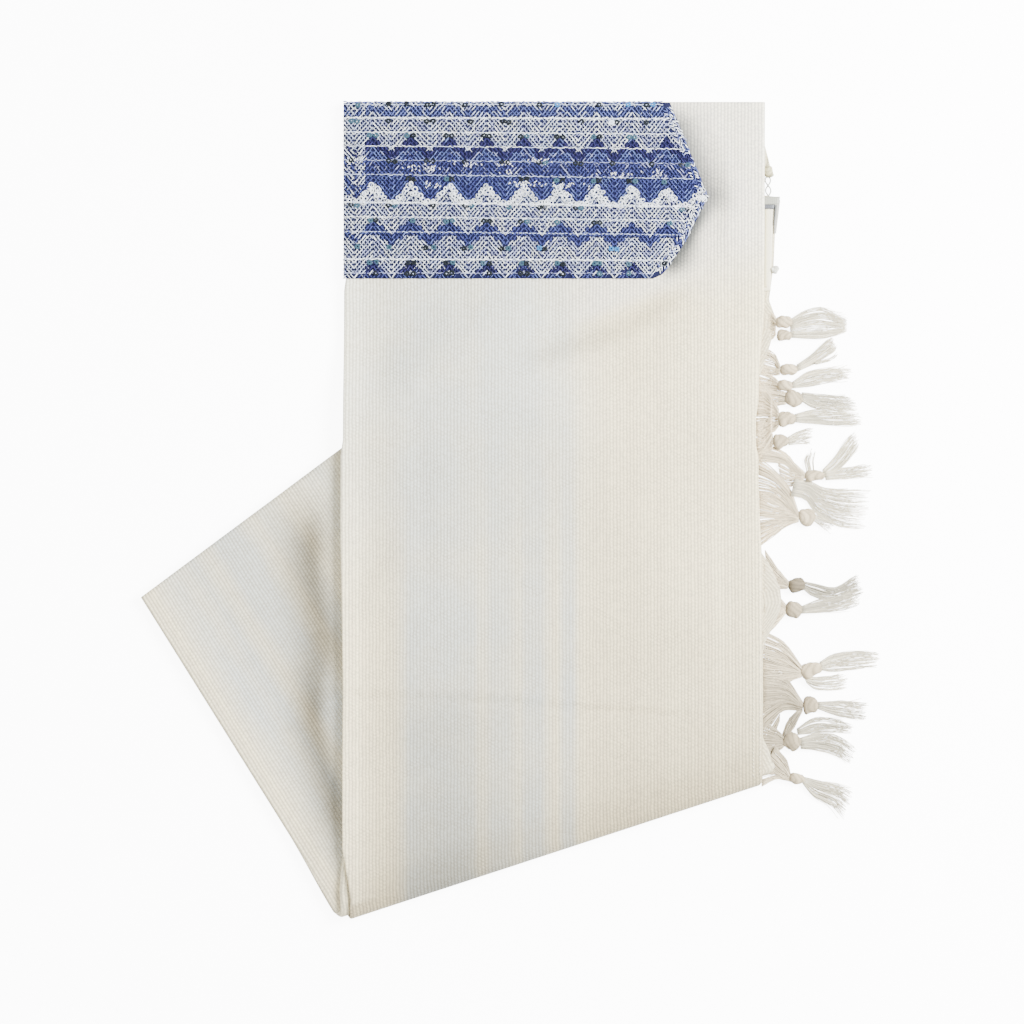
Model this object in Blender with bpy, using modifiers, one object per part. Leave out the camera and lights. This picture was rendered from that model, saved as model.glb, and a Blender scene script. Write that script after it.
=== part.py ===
"""Folded tallit prayer shawl, lying flat.

The shawl is folded in half at its neckband, then in thirds, into a strip six
layers thick. The strip lies face up with its neck edge at +Y, and is folded
under along a slanting line at its lower end, so its tail comes out behind it
as a flap to the left. Both fringed ends peep out along the right-hand edge.

Every piece is laid with one rule, lay(), which takes a place on the strip and a
depth under the strip's outer face and returns a point. Plan sizes, heights and
depths are in millimetres until a mesh is made. Z is up and the table is z = 0.
"""
import math

import bmesh
import bpy
import numpy as np

# ---- driving dimensions, mm ------------------------------------------------
CLOTH = 1.0                       # wall of one layer of cloth
PITCH = 1.3                       # one layer with the air over it
LAYERS = 6
GAP = 0.3                         # clearance between pieces that touch
STACK = LAYERS * PITCH            # height of the folded strip
FOLD_R = STACK + GAP / 2          # outer radius of the turned-under end
PAIR_R = PITCH                    # outer radius of the fold that holds 2 layers
FOUR_R = 2 * PITCH                # outer radius of a fold that holds 4 layers
BAND = 1.4                        # wall of the neckband
RAMP_START = 14.0                 # the strip runs level this far past the flap,
RAMP = 26.0                       # and then comes down to the table over this
FRONT_ROWS = 24                   # rows and columns the front is laid out in
FRONT_COLUMNS = 12

NECK_Y = 266.5                    # neck edge
FOLD_LEFT = (-109.0, -267.3)      # ends of the slanting fold, at its outermost line
FOLD_RIGHT = (163.5, -178.1)
FOLD_DRIFT = 0.22                 # sideways drift of the strip as it goes round

FLAP_TIP = (-241.8, -56.4)        # outer corner of the flap
FLAP_HIDDEN = (-27.0, 103.4)      # its other end corner, under the front

# y, x of the edge that each layer follows
LEFT_FOLD = ((266.5, -107.7), (141.0, -107.7), (125.0, -109.2), (46.2, -109.5),
             (36.4, -111.0), (-12.4, -111.2), (-57.9, -110.5), (-113.1, -109.5),
             (-171.0, -110.0), (-220.4, -109.8), (-233.4, -107.6), (-244.4, -105.8),
             (-262.0, -104.2))
LEFT_UNDER = ((266.5, -106.5), (46.2, -108.4), (36.4, -110.0), (-12.4, -110.2),
              (-113.1, -108.6), (-220.4, -109.4), (-233.4, -111.2), (-246.4, -112.0),
              (-262.0, -111.5))
RIGHT_FOLD = ((266.5, 164.8), (130.7, 164.8), (91.0, 161.5), (52.7, 159.6),
              (20.2, 160.6), (-3.3, 161.5), (-36.4, 163.5), (-103.4, 162.8),
              (-180.0, 163.2))
UPPER_END = ((266.5, 161.0), (206.2, 161.8), (205.2, 174.8), (183.3, 172.3),
             (159.9, 171.3), (143.7, 169.1), (137.2, 168.3), (127.4, 171.9),
             (117.7, 170.6), (107.9, 166.7), (52.7, 166.7), (26.7, 167.4),
             (-3.3, 166.4), (-36.4, 169.3), (-57.9, 171.9), (-83.9, 170.0),
             (-109.9, 168.0), (-142.4, 167.4), (-158.0, 168.3), (-172.0, 171.0))
LOWER_END = ((266.5, 160.3), (143.7, 165.4), (124.2, 168.0), (107.9, 170.0),
             (91.0, 168.7), (52.7, 169.3), (20.2, 168.0), (-3.3, 165.4),
             (-36.4, 167.4), (-57.9, 168.7), (-116.4, 166.7), (-148.9, 168.0),
             (-160.0, 170.5), (-172.0, 173.5))

# neckband: y, x of its pointed end
BAND_END = ((266.0, 103.0), (263.2, 104.0), (205.0, 128.2), (158.0, 101.5),
            (154.0, 98.0), (151.4, 92.0))

# tassels, mm: where the threads leave the cloth (y and half spread), the knot
# (centre, half length, half width), the skirt's middle and tip (with half width)
TASSELS = (
    # name, root y, spread, knot x, y, long, wide, mid x, y, wide, tip x, y, wide
    ("01", 122.5, 8.0, 177.8, 119.0, 5.2, 7.8, 200.5, 122.8, 8.2, 218.1, 122.0, 5.4),
    ("02", 97.0, 5.0, 181.0, 92.3, 5.8, 4.2, 197.3, 96.8, 4.2, 211.2, 107.9, 4.4),
    ("03", 83.5, 3.0, 178.4, 81.3, 5.2, 3.9, 200.5, 87.8, 3.9, 223.9, 89.7, 3.3),
    ("04", 71.5, 2.6, 184.9, 74.1, 6.4, 4.6, 205.7, 72.8, 4.9, 225.9, 71.5, 4.5),
    ("05", 61.5, 3.2, 179.7, 59.8, 5.8, 4.8, 203.8, 59.2, 4.5, 229.8, 60.5, 5.0),
    ("06", 48.0, 3.0, 175.8, 45.5, 5.0, 4.5, 187.5, 47.8, 4.6, 197.0, 49.4, 5.2),
    ("07", 38.5, 3.0, 197.9, 23.4, 6.0, 3.7, 212.2, 35.1, 2.9, 223.9, 50.7, 3.3),
    ("08", -3.9, 18.5, 193.1, -3.9, 5.6, 5.6, 220.0, 4.4, 9.6, 234.3, 2.6, 12.0),
    ("09", -38.0, 7.0, 186.6, -48.8, 5.5, 4.7, 207.0, -50.7, 3.9, 226.5, -46.8, 3.9),
    ("10", -62.5, 13.5, 184.3, -64.4, 5.5, 5.5, 207.0, -61.1, 4.5, 229.1, -57.2, 4.6),
    ("11", -98.0, 14.0, 195.3, -104.0, 7.1, 5.2, 220.0, -98.2, 5.8, 240.8, -97.5, 4.6),
    ("12", -126.8, 12.5, 195.3, -126.8, 5.0, 5.8, 213.5, -128.7, 4.5, 232.4, -130.7, 4.5),
    ("13", -149.0, 6.5, 183.0, -149.5, 6.0, 6.6, 205.7, -143.0, 3.8, 223.3, -143.6, 3.9),
    ("14", -164.5, 5.0, 186.2, -174.8, 5.2, 3.6, 203.8, -183.3, 5.9, 219.5, -192.0, 9.5),
)
# second skirts: from (x, y, half width) through a middle to a tip
FORKS = (
    ("07_fork", 206.6, 22.2, 1.6, 218.0, 24.2, 2.4, 235.6, 27.3, 2.6),
    ("11_fork", 196.0, -110.6, 2.0, 207.0, -112.5, 3.3, 219.4, -112.5, 4.5),
    ("13_fork", 191.5, -153.6, 2.4, 207.0, -155.0, 4.4, 223.3, -156.7, 6.0),
)
KNOT_HIGH = 3.9                   # half height of a knot
SKIRT_HIGH = 2.1                  # half height of a skirt at its middle
TIP_HIGH = 0.9
ROOT_HIGH = 0.8

MM = 0.001

# ---- the rule that lays the strip --------------------------------------------
FOLD_ANGLE = math.atan2(FOLD_RIGHT[1] - FOLD_LEFT[1], FOLD_RIGHT[0] - FOLD_LEFT[0])
ALONG = np.array((math.cos(FOLD_ANGLE), math.sin(FOLD_ANGLE)))
OUTWARD = np.array((math.sin(FOLD_ANGLE), -math.cos(FOLD_ANGLE)))


def edge(table, y):
    """x of an edge table at a height y in plan."""
    rows = sorted(table)
    return float(np.interp(y, [r[0] for r in rows], [r[1] for r in rows]))


def turn_y(x):
    """y of the line where the front starts to turn under."""
    slope = math.tan(FOLD_ANGLE)
    return FOLD_LEFT[1] + (x - FOLD_LEFT[0]) * slope + FOLD_R / math.cos(FOLD_ANGLE)


def came_round(x):
    """Plan point where the strip at x has come round to its underside."""
    return np.array((x, turn_y(x))) - ALONG * FOLD_DRIFT * FOLD_R * math.pi


FLAP_FOOT = came_round(FOLD_LEFT[0])      # where the flap's edges leave the fold
FLAP_HEEL = came_round(FOLD_RIGHT[0])


def left_x(table, v):
    """x of a left edge at row v, read where the row meets it."""
    return edge(table, NECK_Y + (turn_y(FOLD_LEFT[0]) - NECK_Y) * min(v, 1.0))


def right_x(table, v):
    """x of a right edge at row v, read where the row meets it."""
    return edge(table, NECK_Y + (turn_y(FOLD_RIGHT[0]) - NECK_Y) * min(v, 1.0))


def column_x(n, v):
    """x of a column, which every piece of the front has in common."""
    part = n / FRONT_COLUMNS
    return left_x(LEFT_FOLD, v) * (1 - part) + right_x(RIGHT_FOLD, v) * part


def outside(point, a, b):
    """Distance of a plan point to the left of the line from a to b."""
    run = np.subtract(b, a)
    side = np.array((-run[1], run[0])) / np.hypot(*run)
    return float(np.dot(np.subtract(point, a), side))


def rise(x, y):
    """How far the flap lifts the strip: its own height, falling away past it."""
    heel = FLAP_HEEL + np.array((14.0, 4.5))
    beyond_end = outside((x, y), FLAP_TIP, FLAP_HIDDEN)
    beyond_side = outside((x, y), FLAP_HIDDEN, heel)
    away = math.hypot(max(beyond_end, 0.0), max(beyond_side, 0.0))
    t = min(max(1.0 - (away - RAMP_START) / RAMP, 0.0), 1.0)
    return (STACK + GAP) * t * t * (3.0 - 2.0 * t)


def row_rises(row):
    """The rise at each inner column of a row."""
    v = row / FRONT_ROWS
    xs = [column_x(n, v) for n in range(1, FRONT_COLUMNS)]
    return [rise(x, NECK_Y + (turn_y(x) - NECK_Y) * v) for x in xs]


RISES = [row_rises(row) for row in range(FRONT_ROWS + 1)]


def base(x, v):
    """Height of the strip's under face: straight between the rows and columns,
    and level across the outer columns."""
    row = min(int(v * FRONT_ROWS), FRONT_ROWS - 1)
    part = v * FRONT_ROWS - row
    xs = [column_x(n, v) for n in range(1, FRONT_COLUMNS)]
    return float(np.interp(x, xs, RISES[row]) * (1 - part)
                 + np.interp(x, xs, RISES[row + 1]) * part)


def lay(x, v, depth, shift=0.0):
    """Point of the front strip, in mm.

    x is the place across it, v runs from 0 at the neck edge to 1 where the end
    starts to turn under and to 2 where it has turned, depth is measured inwards
    from the outer face, and shift moves the point along the strip.
    """
    if v <= 1.0:
        y = NECK_Y + (turn_y(x) - NECK_Y) * v + shift
        return (x, y, base(x, v) + STACK - depth)
    phi = math.pi * (v - 1.0)
    plan = np.array((x, turn_y(x))) - ALONG * FOLD_DRIFT * FOLD_R * phi
    plan = plan + OUTWARD * (FOLD_R - depth) * math.sin(phi)
    return (plan[0], plan[1], FOLD_R + (FOLD_R - depth) * math.cos(phi))


def row_at(x, y):
    """v of the row through a plan point of the front."""
    return (y - NECK_Y) / (turn_y(x) - NECK_Y)


def lay_back(side, off, v, depth, shift=0.0):
    """Point of the strip's tail, in mm.

    side is 0 at its left edge and 1 at its right edge, off is a distance to the
    right of that place, and v runs from 0 at the fold to 1 at the tail's end.
    """
    foot = FLAP_FOOT * (1 - side) + FLAP_HEEL * side
    end = np.array(FLAP_TIP) * (1 - side) + np.array(FLAP_HIDDEN) * side
    last = np.subtract(FLAP_HIDDEN, FLAP_TIP)
    across = ALONG * (1 - v) + last / np.hypot(*last) * v
    away = (end - foot) / np.hypot(*(end - foot))
    plan = foot + (end - foot) * v + across * off + away * shift
    return (plan[0], plan[1], depth)


# ---- makers --------------------------------------------------------------------
def material(name, colour, roughness):
    """A Principled BSDF of one colour."""
    made = bpy.data.materials.new(name)
    made.use_nodes = True
    shader = made.node_tree.nodes["Principled BSDF"]
    shader.inputs["Base Color"].default_value = (*colour, 1.0)
    shader.inputs["Roughness"].default_value = roughness
    shader.inputs["Metallic"].default_value = 0.0
    return made


def add_object(name, verts, faces, finish, collection):
    """A mesh object from points in mm."""
    mesh = bpy.data.meshes.new(name)
    mesh.from_pydata([tuple(c * MM for c in p) for p in verts], [], faces)
    bm = bmesh.new()
    bm.from_mesh(mesh)
    bmesh.ops.recalc_face_normals(bm, faces=bm.faces)
    bm.to_mesh(mesh)
    bm.free()
    mesh.shade_smooth()
    mesh.materials.append(finish)
    made = bpy.data.objects.new(name, mesh)
    collection.objects.link(made)
    return made


def wall(name, rows, facing_up, finish, collection, thickness=CLOTH):
    """A wall of cloth: rows of points on its outer face, and Solidify."""
    count = len(rows[0])
    faces = []
    for j in range(len(rows) - 1):
        for i in range(count - 1):
            a = j * count + i
            faces.append((a, a + 1, a + count + 1))
            faces.append((a, a + count + 1, a + count))
    if not facing_up:
        faces = [face[::-1] for face in faces]
    mesh = bpy.data.meshes.new(name)
    mesh.from_pydata([tuple(c * MM for c in p) for row in rows for p in row], [], faces)
    mesh.shade_smooth()
    mesh.materials.append(finish)
    made = bpy.data.objects.new(name, mesh)
    collection.objects.link(made)
    shell = made.modifiers.new("Wall", "SOLIDIFY")
    shell.thickness = thickness * MM
    shell.offset = -1.0
    shell.use_even_offset = True
    return made


def block(name, place, across, levels, along, finish, collection):
    """A solid with six gridded sides; place(i, k, j) returns a point in mm.

    Each cell is split the same way as a wall's, so solids that share their plan
    lie on each other without crossing.
    """
    index = {}
    verts = []
    faces = []

    def corner(i, k, j):
        if (i, k, j) not in index:
            index[i, k, j] = len(verts)
            verts.append(place(i, k, j))
        return index[i, k, j]

    def cell(a, b, c, d):
        faces.append((corner(*a), corner(*b), corner(*c)))
        faces.append((corner(*a), corner(*c), corner(*d)))

    for j in range(along):
        for i in range(across):
            for k in (0, levels):
                cell((i, k, j), (i + 1, k, j), (i + 1, k, j + 1), (i, k, j + 1))
        for k in range(levels):
            for i in (0, across):
                cell((i, k, j), (i, k + 1, j), (i, k + 1, j + 1), (i, k, j + 1))
    for k in range(levels):
        for i in range(across):
            for j in (0, along):
                cell((i, k, j), (i + 1, k, j), (i + 1, k + 1, j), (i, k + 1, j))
    return add_object(name, verts, faces, finish, collection)


def loft(name, rings, finish, collection):
    """A closed solid through rings of equal count."""
    count = len(rings[0])
    verts = [p for ring in rings for p in ring]
    faces = [tuple(range(count)), tuple(range(len(verts) - count, len(verts)))]
    for r in range(len(rings) - 1):
        for i in range(count):
            a, b = r * count + i, r * count + (i + 1) % count
            faces.append((a, b, b + count, a + count))
    return add_object(name, verts, faces, finish, collection)


# ---- the strip ------------------------------------------------------------------
def bend(centre_off, centre_depth, radius, start, stop, steps):
    """(off, depth) points round an edge fold; 90 degrees points up."""
    points = []
    for n in range(steps + 1):
        a = math.radians(start + (stop - start) * n / steps)
        points.append((centre_off + radius * math.cos(a),
                       centre_depth - radius * math.sin(a)))
    return points


TURN_STEPS = 6
TAIL = 8.0                        # cloth tucked in behind an edge fold
INNER_TAIL = FOUR_R + TAIL


def flat_stations():
    """v of each row of the front, from the neck edge to where it turns under."""
    return [n / FRONT_ROWS for n in range(FRONT_ROWS + 1)]


def front_panel(finish, collection):
    """The outer layer of the front, with its left, right and lower folds."""
    left = [(TAIL, 2 * PAIR_R)] + bend(PAIR_R, PAIR_R, PAIR_R, 270, 90, 4)
    left.append((TAIL + 0.8, 0.0))
    right = [(-FOUR_R - 1.2, 0.0)] + bend(-FOUR_R, FOUR_R, FOUR_R, 90, -90, 5)
    right.append((-INNER_TAIL, 2 * FOUR_R))
    turned = [1.0 + (n + 1) / TURN_STEPS for n in range(TURN_STEPS)]
    rows = []
    for v in flat_stations() + turned:
        xl, xr = left_x(LEFT_FOLD, v), right_x(RIGHT_FOLD, v)
        row = [lay(xl + off, v, depth) for off, depth in left]
        row += [lay(column_x(n, v), v, 0.0) for n in range(1, FRONT_COLUMNS)]
        row += [lay(xr + off, v, depth) for off, depth in right]
        rows.append(row)
    return wall("front_panel", rows, False, finish, collection)


# Each level of the solid under the front panel: its depth, then its insets from
# the left edge, the right edge and the neck edge. The left side is the fold of
# four layers, the right side a slot for the fringed ends under a tongue inside
# the front panel's fold, and the neck edge shows each layer as a ridge.
SLOT = 18.0
FRONT_LEVELS = (
    (STACK, 1.3, SLOT, 0.5), (7.15, 0.4, SLOT, 0.0), (6.5, 0.1, SLOT, 0.5),
    (5.85, 0.0, SLOT, 0.0), (5.28, 0.0, SLOT, 0.4), (5.2, 0.0, 12.0, 0.5),
    (4.55, 0.1, 12.0, 0.0), (4.0, 0.3, 12.0, 0.5), (3.8, 0.4, 3.6, 0.5),
    (3.25, 0.9, 3.4, 0.0), (3.0, 1.3, 3.4, 0.4), (2.9, 8.8, 3.4, 0.5),
    (1.95, 8.8, 3.4, 0.0), (1.4, 8.8, 3.8, 0.5),
)


def front_layers(finish, collection):
    """The five layers under the front panel, as one solid."""
    stations = flat_stations() + [1.0 + 0.49 * (n + 1) / 4 for n in range(4)]

    def place(i, k, j):
        depth, in_left, in_right, in_neck = FRONT_LEVELS[k]
        v = stations[j]
        if i == 0:
            table = LEFT_UNDER if depth > 2 * PAIR_R + GAP else LEFT_FOLD
            x = left_x(table, v) + in_left
        elif i == FRONT_COLUMNS:
            x = right_x(RIGHT_FOLD, v) - in_right
        else:
            x = column_x(i, v)
        return lay(x, v, depth, -in_neck if j == 0 else 0.0)

    return block("front_layers", place, FRONT_COLUMNS, len(FRONT_LEVELS) - 1,
                 len(stations) - 1, finish, collection)


FLAP_ROWS = 5
FLAP_COLUMNS = 5


def flap_panel(finish, collection):
    """The uppermost layer of the tail, folded round at its left edge."""
    left = [(INNER_TAIL, FOUR_R)] + bend(FOUR_R, 2 * FOUR_R, FOUR_R, 90, 270, 6)
    rows = []
    for n in range(FLAP_ROWS + 1):
        v = n / FLAP_ROWS
        row = [lay_back(0.0, off, v, depth) for off, depth in left]
        for m in range(1, FLAP_COLUMNS + 1):
            side = m / FLAP_COLUMNS
            row.append(lay_back(side, FOUR_R * (1 - side), v, STACK))
        rows.append(row)
    return wall("flap_panel", rows, True, finish, collection)


def under_panel(finish, collection):
    """The outer layer again, on the tail's underside, where it rests."""
    left = [(TAIL, 2 * PAIR_R)] + bend(PAIR_R, PAIR_R, PAIR_R, 270, 90, 4)
    right = bend(-FOUR_R, FOUR_R, FOUR_R, 90, -90, 5) + [(-INNER_TAIL, 2 * FOUR_R)]
    rows = []
    for n in range(FLAP_ROWS + 1):
        v = n / FLAP_ROWS
        shift = 1.5 * GAP if n == 0 else 0.0
        row = [lay_back(0.0, off + 0.5, v, depth, shift) for off, depth in left]
        for m in range(1, FLAP_COLUMNS):
            side = m / FLAP_COLUMNS
            row.append(lay_back(side, PAIR_R * (1 - side) - FOUR_R * side, v, 0.0, shift))
        row += [lay_back(1.0, off, v, depth, shift) for off, depth in right]
        rows.append(row)
    return wall("under_panel", rows, False, finish, collection)


# each level of the solid inside the tail: its depth, then its insets from the
# left edge, from the right edge and from the tail's end
FLAP_LEVELS = (
    (1.4, 15.0, 14.5, 0.5), (1.95, 15.0, 14.5, 0.0), (2.6, 15.0, 14.5, 0.5),
    (3.25, 15.0, 14.5, 0.0), (3.9, 15.0, 14.5, 0.5), (4.1, 4.6, 14.5, 0.3),
    (4.55, 4.1, 14.5, 0.0), (5.2, 4.0, 14.5, 0.5), (5.85, 4.1, 14.5, 0.0),
    (6.4, 4.6, 14.5, 0.5),
)


def flap_layers(finish, collection):
    """The four layers inside the tail, as one solid that starts in the fold."""
    turned = [1.52 + 0.48 * n / 4 for n in range(4)]
    straight = [n / FLAP_ROWS for n in range(FLAP_ROWS + 1)]

    def place(i, k, j):
        depth, in_left, in_right, in_end = FLAP_LEVELS[k]
        side = i / FLAP_COLUMNS
        off = in_left * (1 - side) - in_right * side
        if j < len(turned):
            phi = math.pi * (turned[j] - 1.0)
            foot = np.array(lay_back(side, off, 0.0, 0.0)[:2])
            drift = ALONG * FOLD_DRIFT * FOLD_R * (math.pi - phi)
            plan = foot + drift + OUTWARD * (FOLD_R - depth) * math.sin(phi)
            return (plan[0], plan[1], FOLD_R + (FOLD_R - depth) * math.cos(phi))
        v = straight[j - len(turned)]
        return lay_back(side, off, v, depth, -in_end if v == 1.0 else 0.0)

    return block("flap_layers", place, FLAP_COLUMNS, len(FLAP_LEVELS) - 1,
                 len(turned) + len(straight) - 1, finish, collection)


# ---- what shows along the fringed edge ---------------------------------------
CORNER_Y = 205.7                  # the shawl's corner, below the strip's neck edge


def end_stations():
    """v of each row of a fringed end: closer than the front's, and at the corner."""
    corner_v = row_at(164.0, CORNER_Y)
    plain = [n / (2 * FRONT_ROWS) for n in range(2 * FRONT_ROWS + 1)]
    kept = [v for v in plain if abs(v - corner_v) > 0.004]
    return sorted(kept + [corner_v - 0.0012, corner_v + 0.0012])


def end_outline(table):
    """(y, x) along the outer edge of a fringed end."""
    outline = []
    for v in end_stations():
        x = right_x(table, v)
        outline.append((lay(x, v, 0.0)[1], x))
    return outline


def fringed_end(name, table, top, finish, collection):
    """One short end of the shawl, from under the right-hand fold to its edge."""
    stations = end_stations()

    def place(i, k, j):
        v = stations[j]
        x = right_x(table, v) if i else right_x(RIGHT_FOLD, v) - SLOT + 0.7
        return lay(x, v, top + CLOTH * k)

    return block(name, place, 1, 1, len(stations) - 1, finish, collection)


UPPER_TOP = 2 * FOUR_R + 0.25     # depth of the upper fringed end's face
PATCH_TOP = 199.5                 # y of the corner patch's ends
PATCH_FOOT = 143.5
PATCH_CLEAR = 3.4                 # how far it stays inside the end's edge


def corner_patch(finish, collection):
    """The facing sewn over the shawl's corner, lying on the upper fringed end."""
    rows = 6
    outline = end_outline(UPPER_END)

    def place(i, k, j):
        y = PATCH_TOP + (PATCH_FOOT - PATCH_TOP) * j / rows
        outer = edge(outline, y) - PATCH_CLEAR * (1 - j / rows) - 0.6
        inner = edge(RIGHT_FOLD, y) + GAP
        x = inner + (outer - inner) * i / 2
        return lay(x, row_at(x, y), UPPER_TOP - GAP - CLOTH * (1 - k))

    return block("corner_patch", place, 2, 1, rows, finish, collection)


BAND_ROWS = (266.0, 263.2, 248.0, 227.0, 205.0, 182.0, 158.0, 154.0, 151.4)
BAND_COLUMNS = 10


def neckband(finish, collection):
    """The band sewn over the neck edge, with its pointed end and turned edge."""
    lift = BAND + GAP
    lip = bend(PAIR_R, PAIR_R, PAIR_R + lift, 200, 90, 5)
    left = edge(LEFT_FOLD, NECK_Y)
    rows = []
    for y in BAND_ROWS:
        row = [(left + off, y, STACK - depth) for off, depth in lip]
        start = left + PAIR_R
        for n in range(1, BAND_COLUMNS + 1):
            x = start + (edge(BAND_END, y) - start) * n / BAND_COLUMNS
            row.append((x, y, STACK + lift))
        rows.append(row)
    return wall("neckband", rows, False, finish, collection, BAND)


# ---- the fringe ---------------------------------------------------------------------
SIDES = 8


def ring(x, y, heading, wide, high, floor):
    """An upright oval across a heading, standing on its floor."""
    across = (-math.sin(heading), math.cos(heading))
    points = []
    for n in range(SIDES):
        a = 2 * math.pi * (n + 0.5) / SIDES
        points.append((x + across[0] * wide * math.cos(a),
                       y + across[1] * wide * math.cos(a),
                       floor + high + high * math.sin(a)))
    return points


def root_x(y, spread):
    """x just clear of both fringed ends over a stretch of the edge."""
    outlines = (end_outline(UPPER_END), end_outline(LOWER_END))
    heights = np.linspace(y - spread, y + spread, 15)
    return GAP + 0.1 + max(edge(line, h) for line in outlines for h in heights)


def tassel(row, finish, collection):
    """Threads gathered from the edge into a knot, and the skirt past it."""
    (name, root_y, spread, kx, ky, k_long, k_wide,
     mx, my, m_wide, tx, ty, t_wide) = row
    rx = root_x(root_y, spread)
    inward = math.atan2(ky - root_y, kx - rx)
    outward = math.atan2(my - ky, mx - kx)
    heading = (inward + outward) / 2
    step = (math.cos(heading), math.sin(heading))
    floor = base(rx, row_at(rx, root_y)) + 0.1
    neck = 2.0
    rings = [ring(rx, root_y, 0.0, spread, ROOT_HIGH, floor)]
    half = ((rx + kx - step[0] * k_long) / 2, (root_y + ky - step[1] * k_long) / 2)
    rings.append(ring(half[0], half[1], inward / 2, (spread + neck) / 2.4,
                      (ROOT_HIGH + neck) / 2, floor / 2))
    for part, wide, high in ((-1.0, 0.45, 0.5), (-0.6, 0.85, 0.85), (0.0, 1.0, 1.0),
                             (0.6, 0.85, 0.85), (1.0, 0.55, 0.55)):
        rings.append(ring(kx + step[0] * k_long * part, ky + step[1] * k_long * part,
                          heading, k_wide * wide, KNOT_HIGH * high, 0.0))
    rings.append(ring(mx, my, outward, m_wide, SKIRT_HIGH, 0.0))
    last = math.atan2(ty - my, tx - mx)
    rings.append(ring(tx, ty, last, t_wide, TIP_HIGH, 0.0))
    return loft("tassel_" + name, rings, finish, collection)


def fork(row, finish, collection):
    """The second skirt of a tassel whose threads part at the knot."""
    name, ax, ay, a_wide, mx, my, m_wide, tx, ty, t_wide = row
    first = math.atan2(my - ay, mx - ax)
    last = math.atan2(ty - my, tx - mx)
    rings = [ring(ax, ay, first, a_wide, 1.6, 0.0),
             ring(mx, my, (first + last) / 2, m_wide, SKIRT_HIGH, 0.0),
             ring(tx, ty, last, t_wide, TIP_HIGH, 0.0)]
    return loft("tassel_" + name, rings, finish, collection)


def corner_loop(finish, collection):
    """The doubled thread of the corner tassel that shows past the fold."""
    points = ((165.9, 236.0), (167.4, 229.0), (168.9, 223.5), (168.2, 217.0),
              (169.6, 211.5), (168.6, 206.5))
    curve = bpy.data.curves.new("corner_loop", "CURVE")
    curve.dimensions = "3D"
    curve.bevel_depth = 1.1 * MM
    curve.bevel_resolution = 2
    curve.use_fill_caps = True
    line = curve.splines.new("POLY")
    line.points.add(len(points) - 1)
    for point, (x, y) in zip(line.points, points):
        point.co = (x * MM, y * MM, 1.2 * MM, 1.0)
    curve.materials.append(finish)
    made = bpy.data.objects.new("corner_loop", curve)
    collection.objects.link(made)
    return made


def main():
    for old in list(bpy.data.objects):
        bpy.data.objects.remove(old)
    shawl = bpy.data.collections.new("tallit_prayer_shawl")
    bpy.context.scene.collection.children.link(shawl)

    cloth = material("shawl_cloth", (0.76, 0.74, 0.68), 0.9)
    knit = material("neckband_knit", (0.20, 0.24, 0.46), 0.8)
    facing = material("corner_facing", (0.66, 0.66, 0.64), 0.7)
    thread = material("fringe_thread", (0.80, 0.78, 0.73), 0.85)

    front_panel(cloth, shawl)
    front_layers(cloth, shawl)
    flap_panel(cloth, shawl)
    flap_layers(cloth, shawl)
    under_panel(cloth, shawl)
    fringed_end("fringed_end_upper", UPPER_END, UPPER_TOP, cloth, shawl)
    fringed_end("fringed_end_lower", LOWER_END, STACK - CLOTH, cloth, shawl)
    corner_patch(facing, shawl)
    neckband(knit, shawl)
    corner_loop(thread, shawl)
    for row in TASSELS:
        tassel(row, thread, shawl)
    for row in FORKS:
        fork(row, thread, shawl)


main()
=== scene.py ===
# %% [markdown]
# # A prayer shawl, folded flat
# The real thing is one rectangle of light ribbed cloth, folded in half at its
# neckband and then in thirds. That gives a strip six layers thick, whose lower
# end is turned under so that its tail comes out to the left. A knitted band is
# sewn over the neck edge and both short ends carry a knotted fringe.
#
# Everything here is a surface worked out with numpy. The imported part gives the
# frame, and each piece lies where its solid lies.

import math

import bpy
import numpy as np
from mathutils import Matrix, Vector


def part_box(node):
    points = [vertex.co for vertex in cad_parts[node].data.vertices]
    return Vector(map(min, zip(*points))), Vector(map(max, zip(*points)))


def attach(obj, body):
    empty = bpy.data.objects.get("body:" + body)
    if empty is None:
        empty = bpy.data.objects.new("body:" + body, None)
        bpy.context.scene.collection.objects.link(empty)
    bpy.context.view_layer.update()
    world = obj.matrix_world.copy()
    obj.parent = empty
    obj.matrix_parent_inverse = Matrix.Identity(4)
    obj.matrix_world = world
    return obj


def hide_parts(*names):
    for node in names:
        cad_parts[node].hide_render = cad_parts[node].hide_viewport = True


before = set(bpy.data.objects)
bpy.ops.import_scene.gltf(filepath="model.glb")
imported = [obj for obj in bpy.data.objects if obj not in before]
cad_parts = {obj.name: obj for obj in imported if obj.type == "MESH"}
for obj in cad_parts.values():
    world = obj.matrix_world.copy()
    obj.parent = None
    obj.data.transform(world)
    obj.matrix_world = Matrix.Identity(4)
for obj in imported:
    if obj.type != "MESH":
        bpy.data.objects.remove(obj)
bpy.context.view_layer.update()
MM = 0.001                        # every size below is in millimetres

# %% [markdown]
# ## How the strip lies
# A place in the folded cloth has three numbers: x across the strip, w along it
# and a depth under its outer face. w runs from 0 at the neck edge to 1 where the
# strip starts to turn under, to 2 where it has come round, and to 3 at the end
# of the tail. One function, strip(), turns them into a point, so every layer
# stays at its own depth all the way round the fold.

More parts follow.
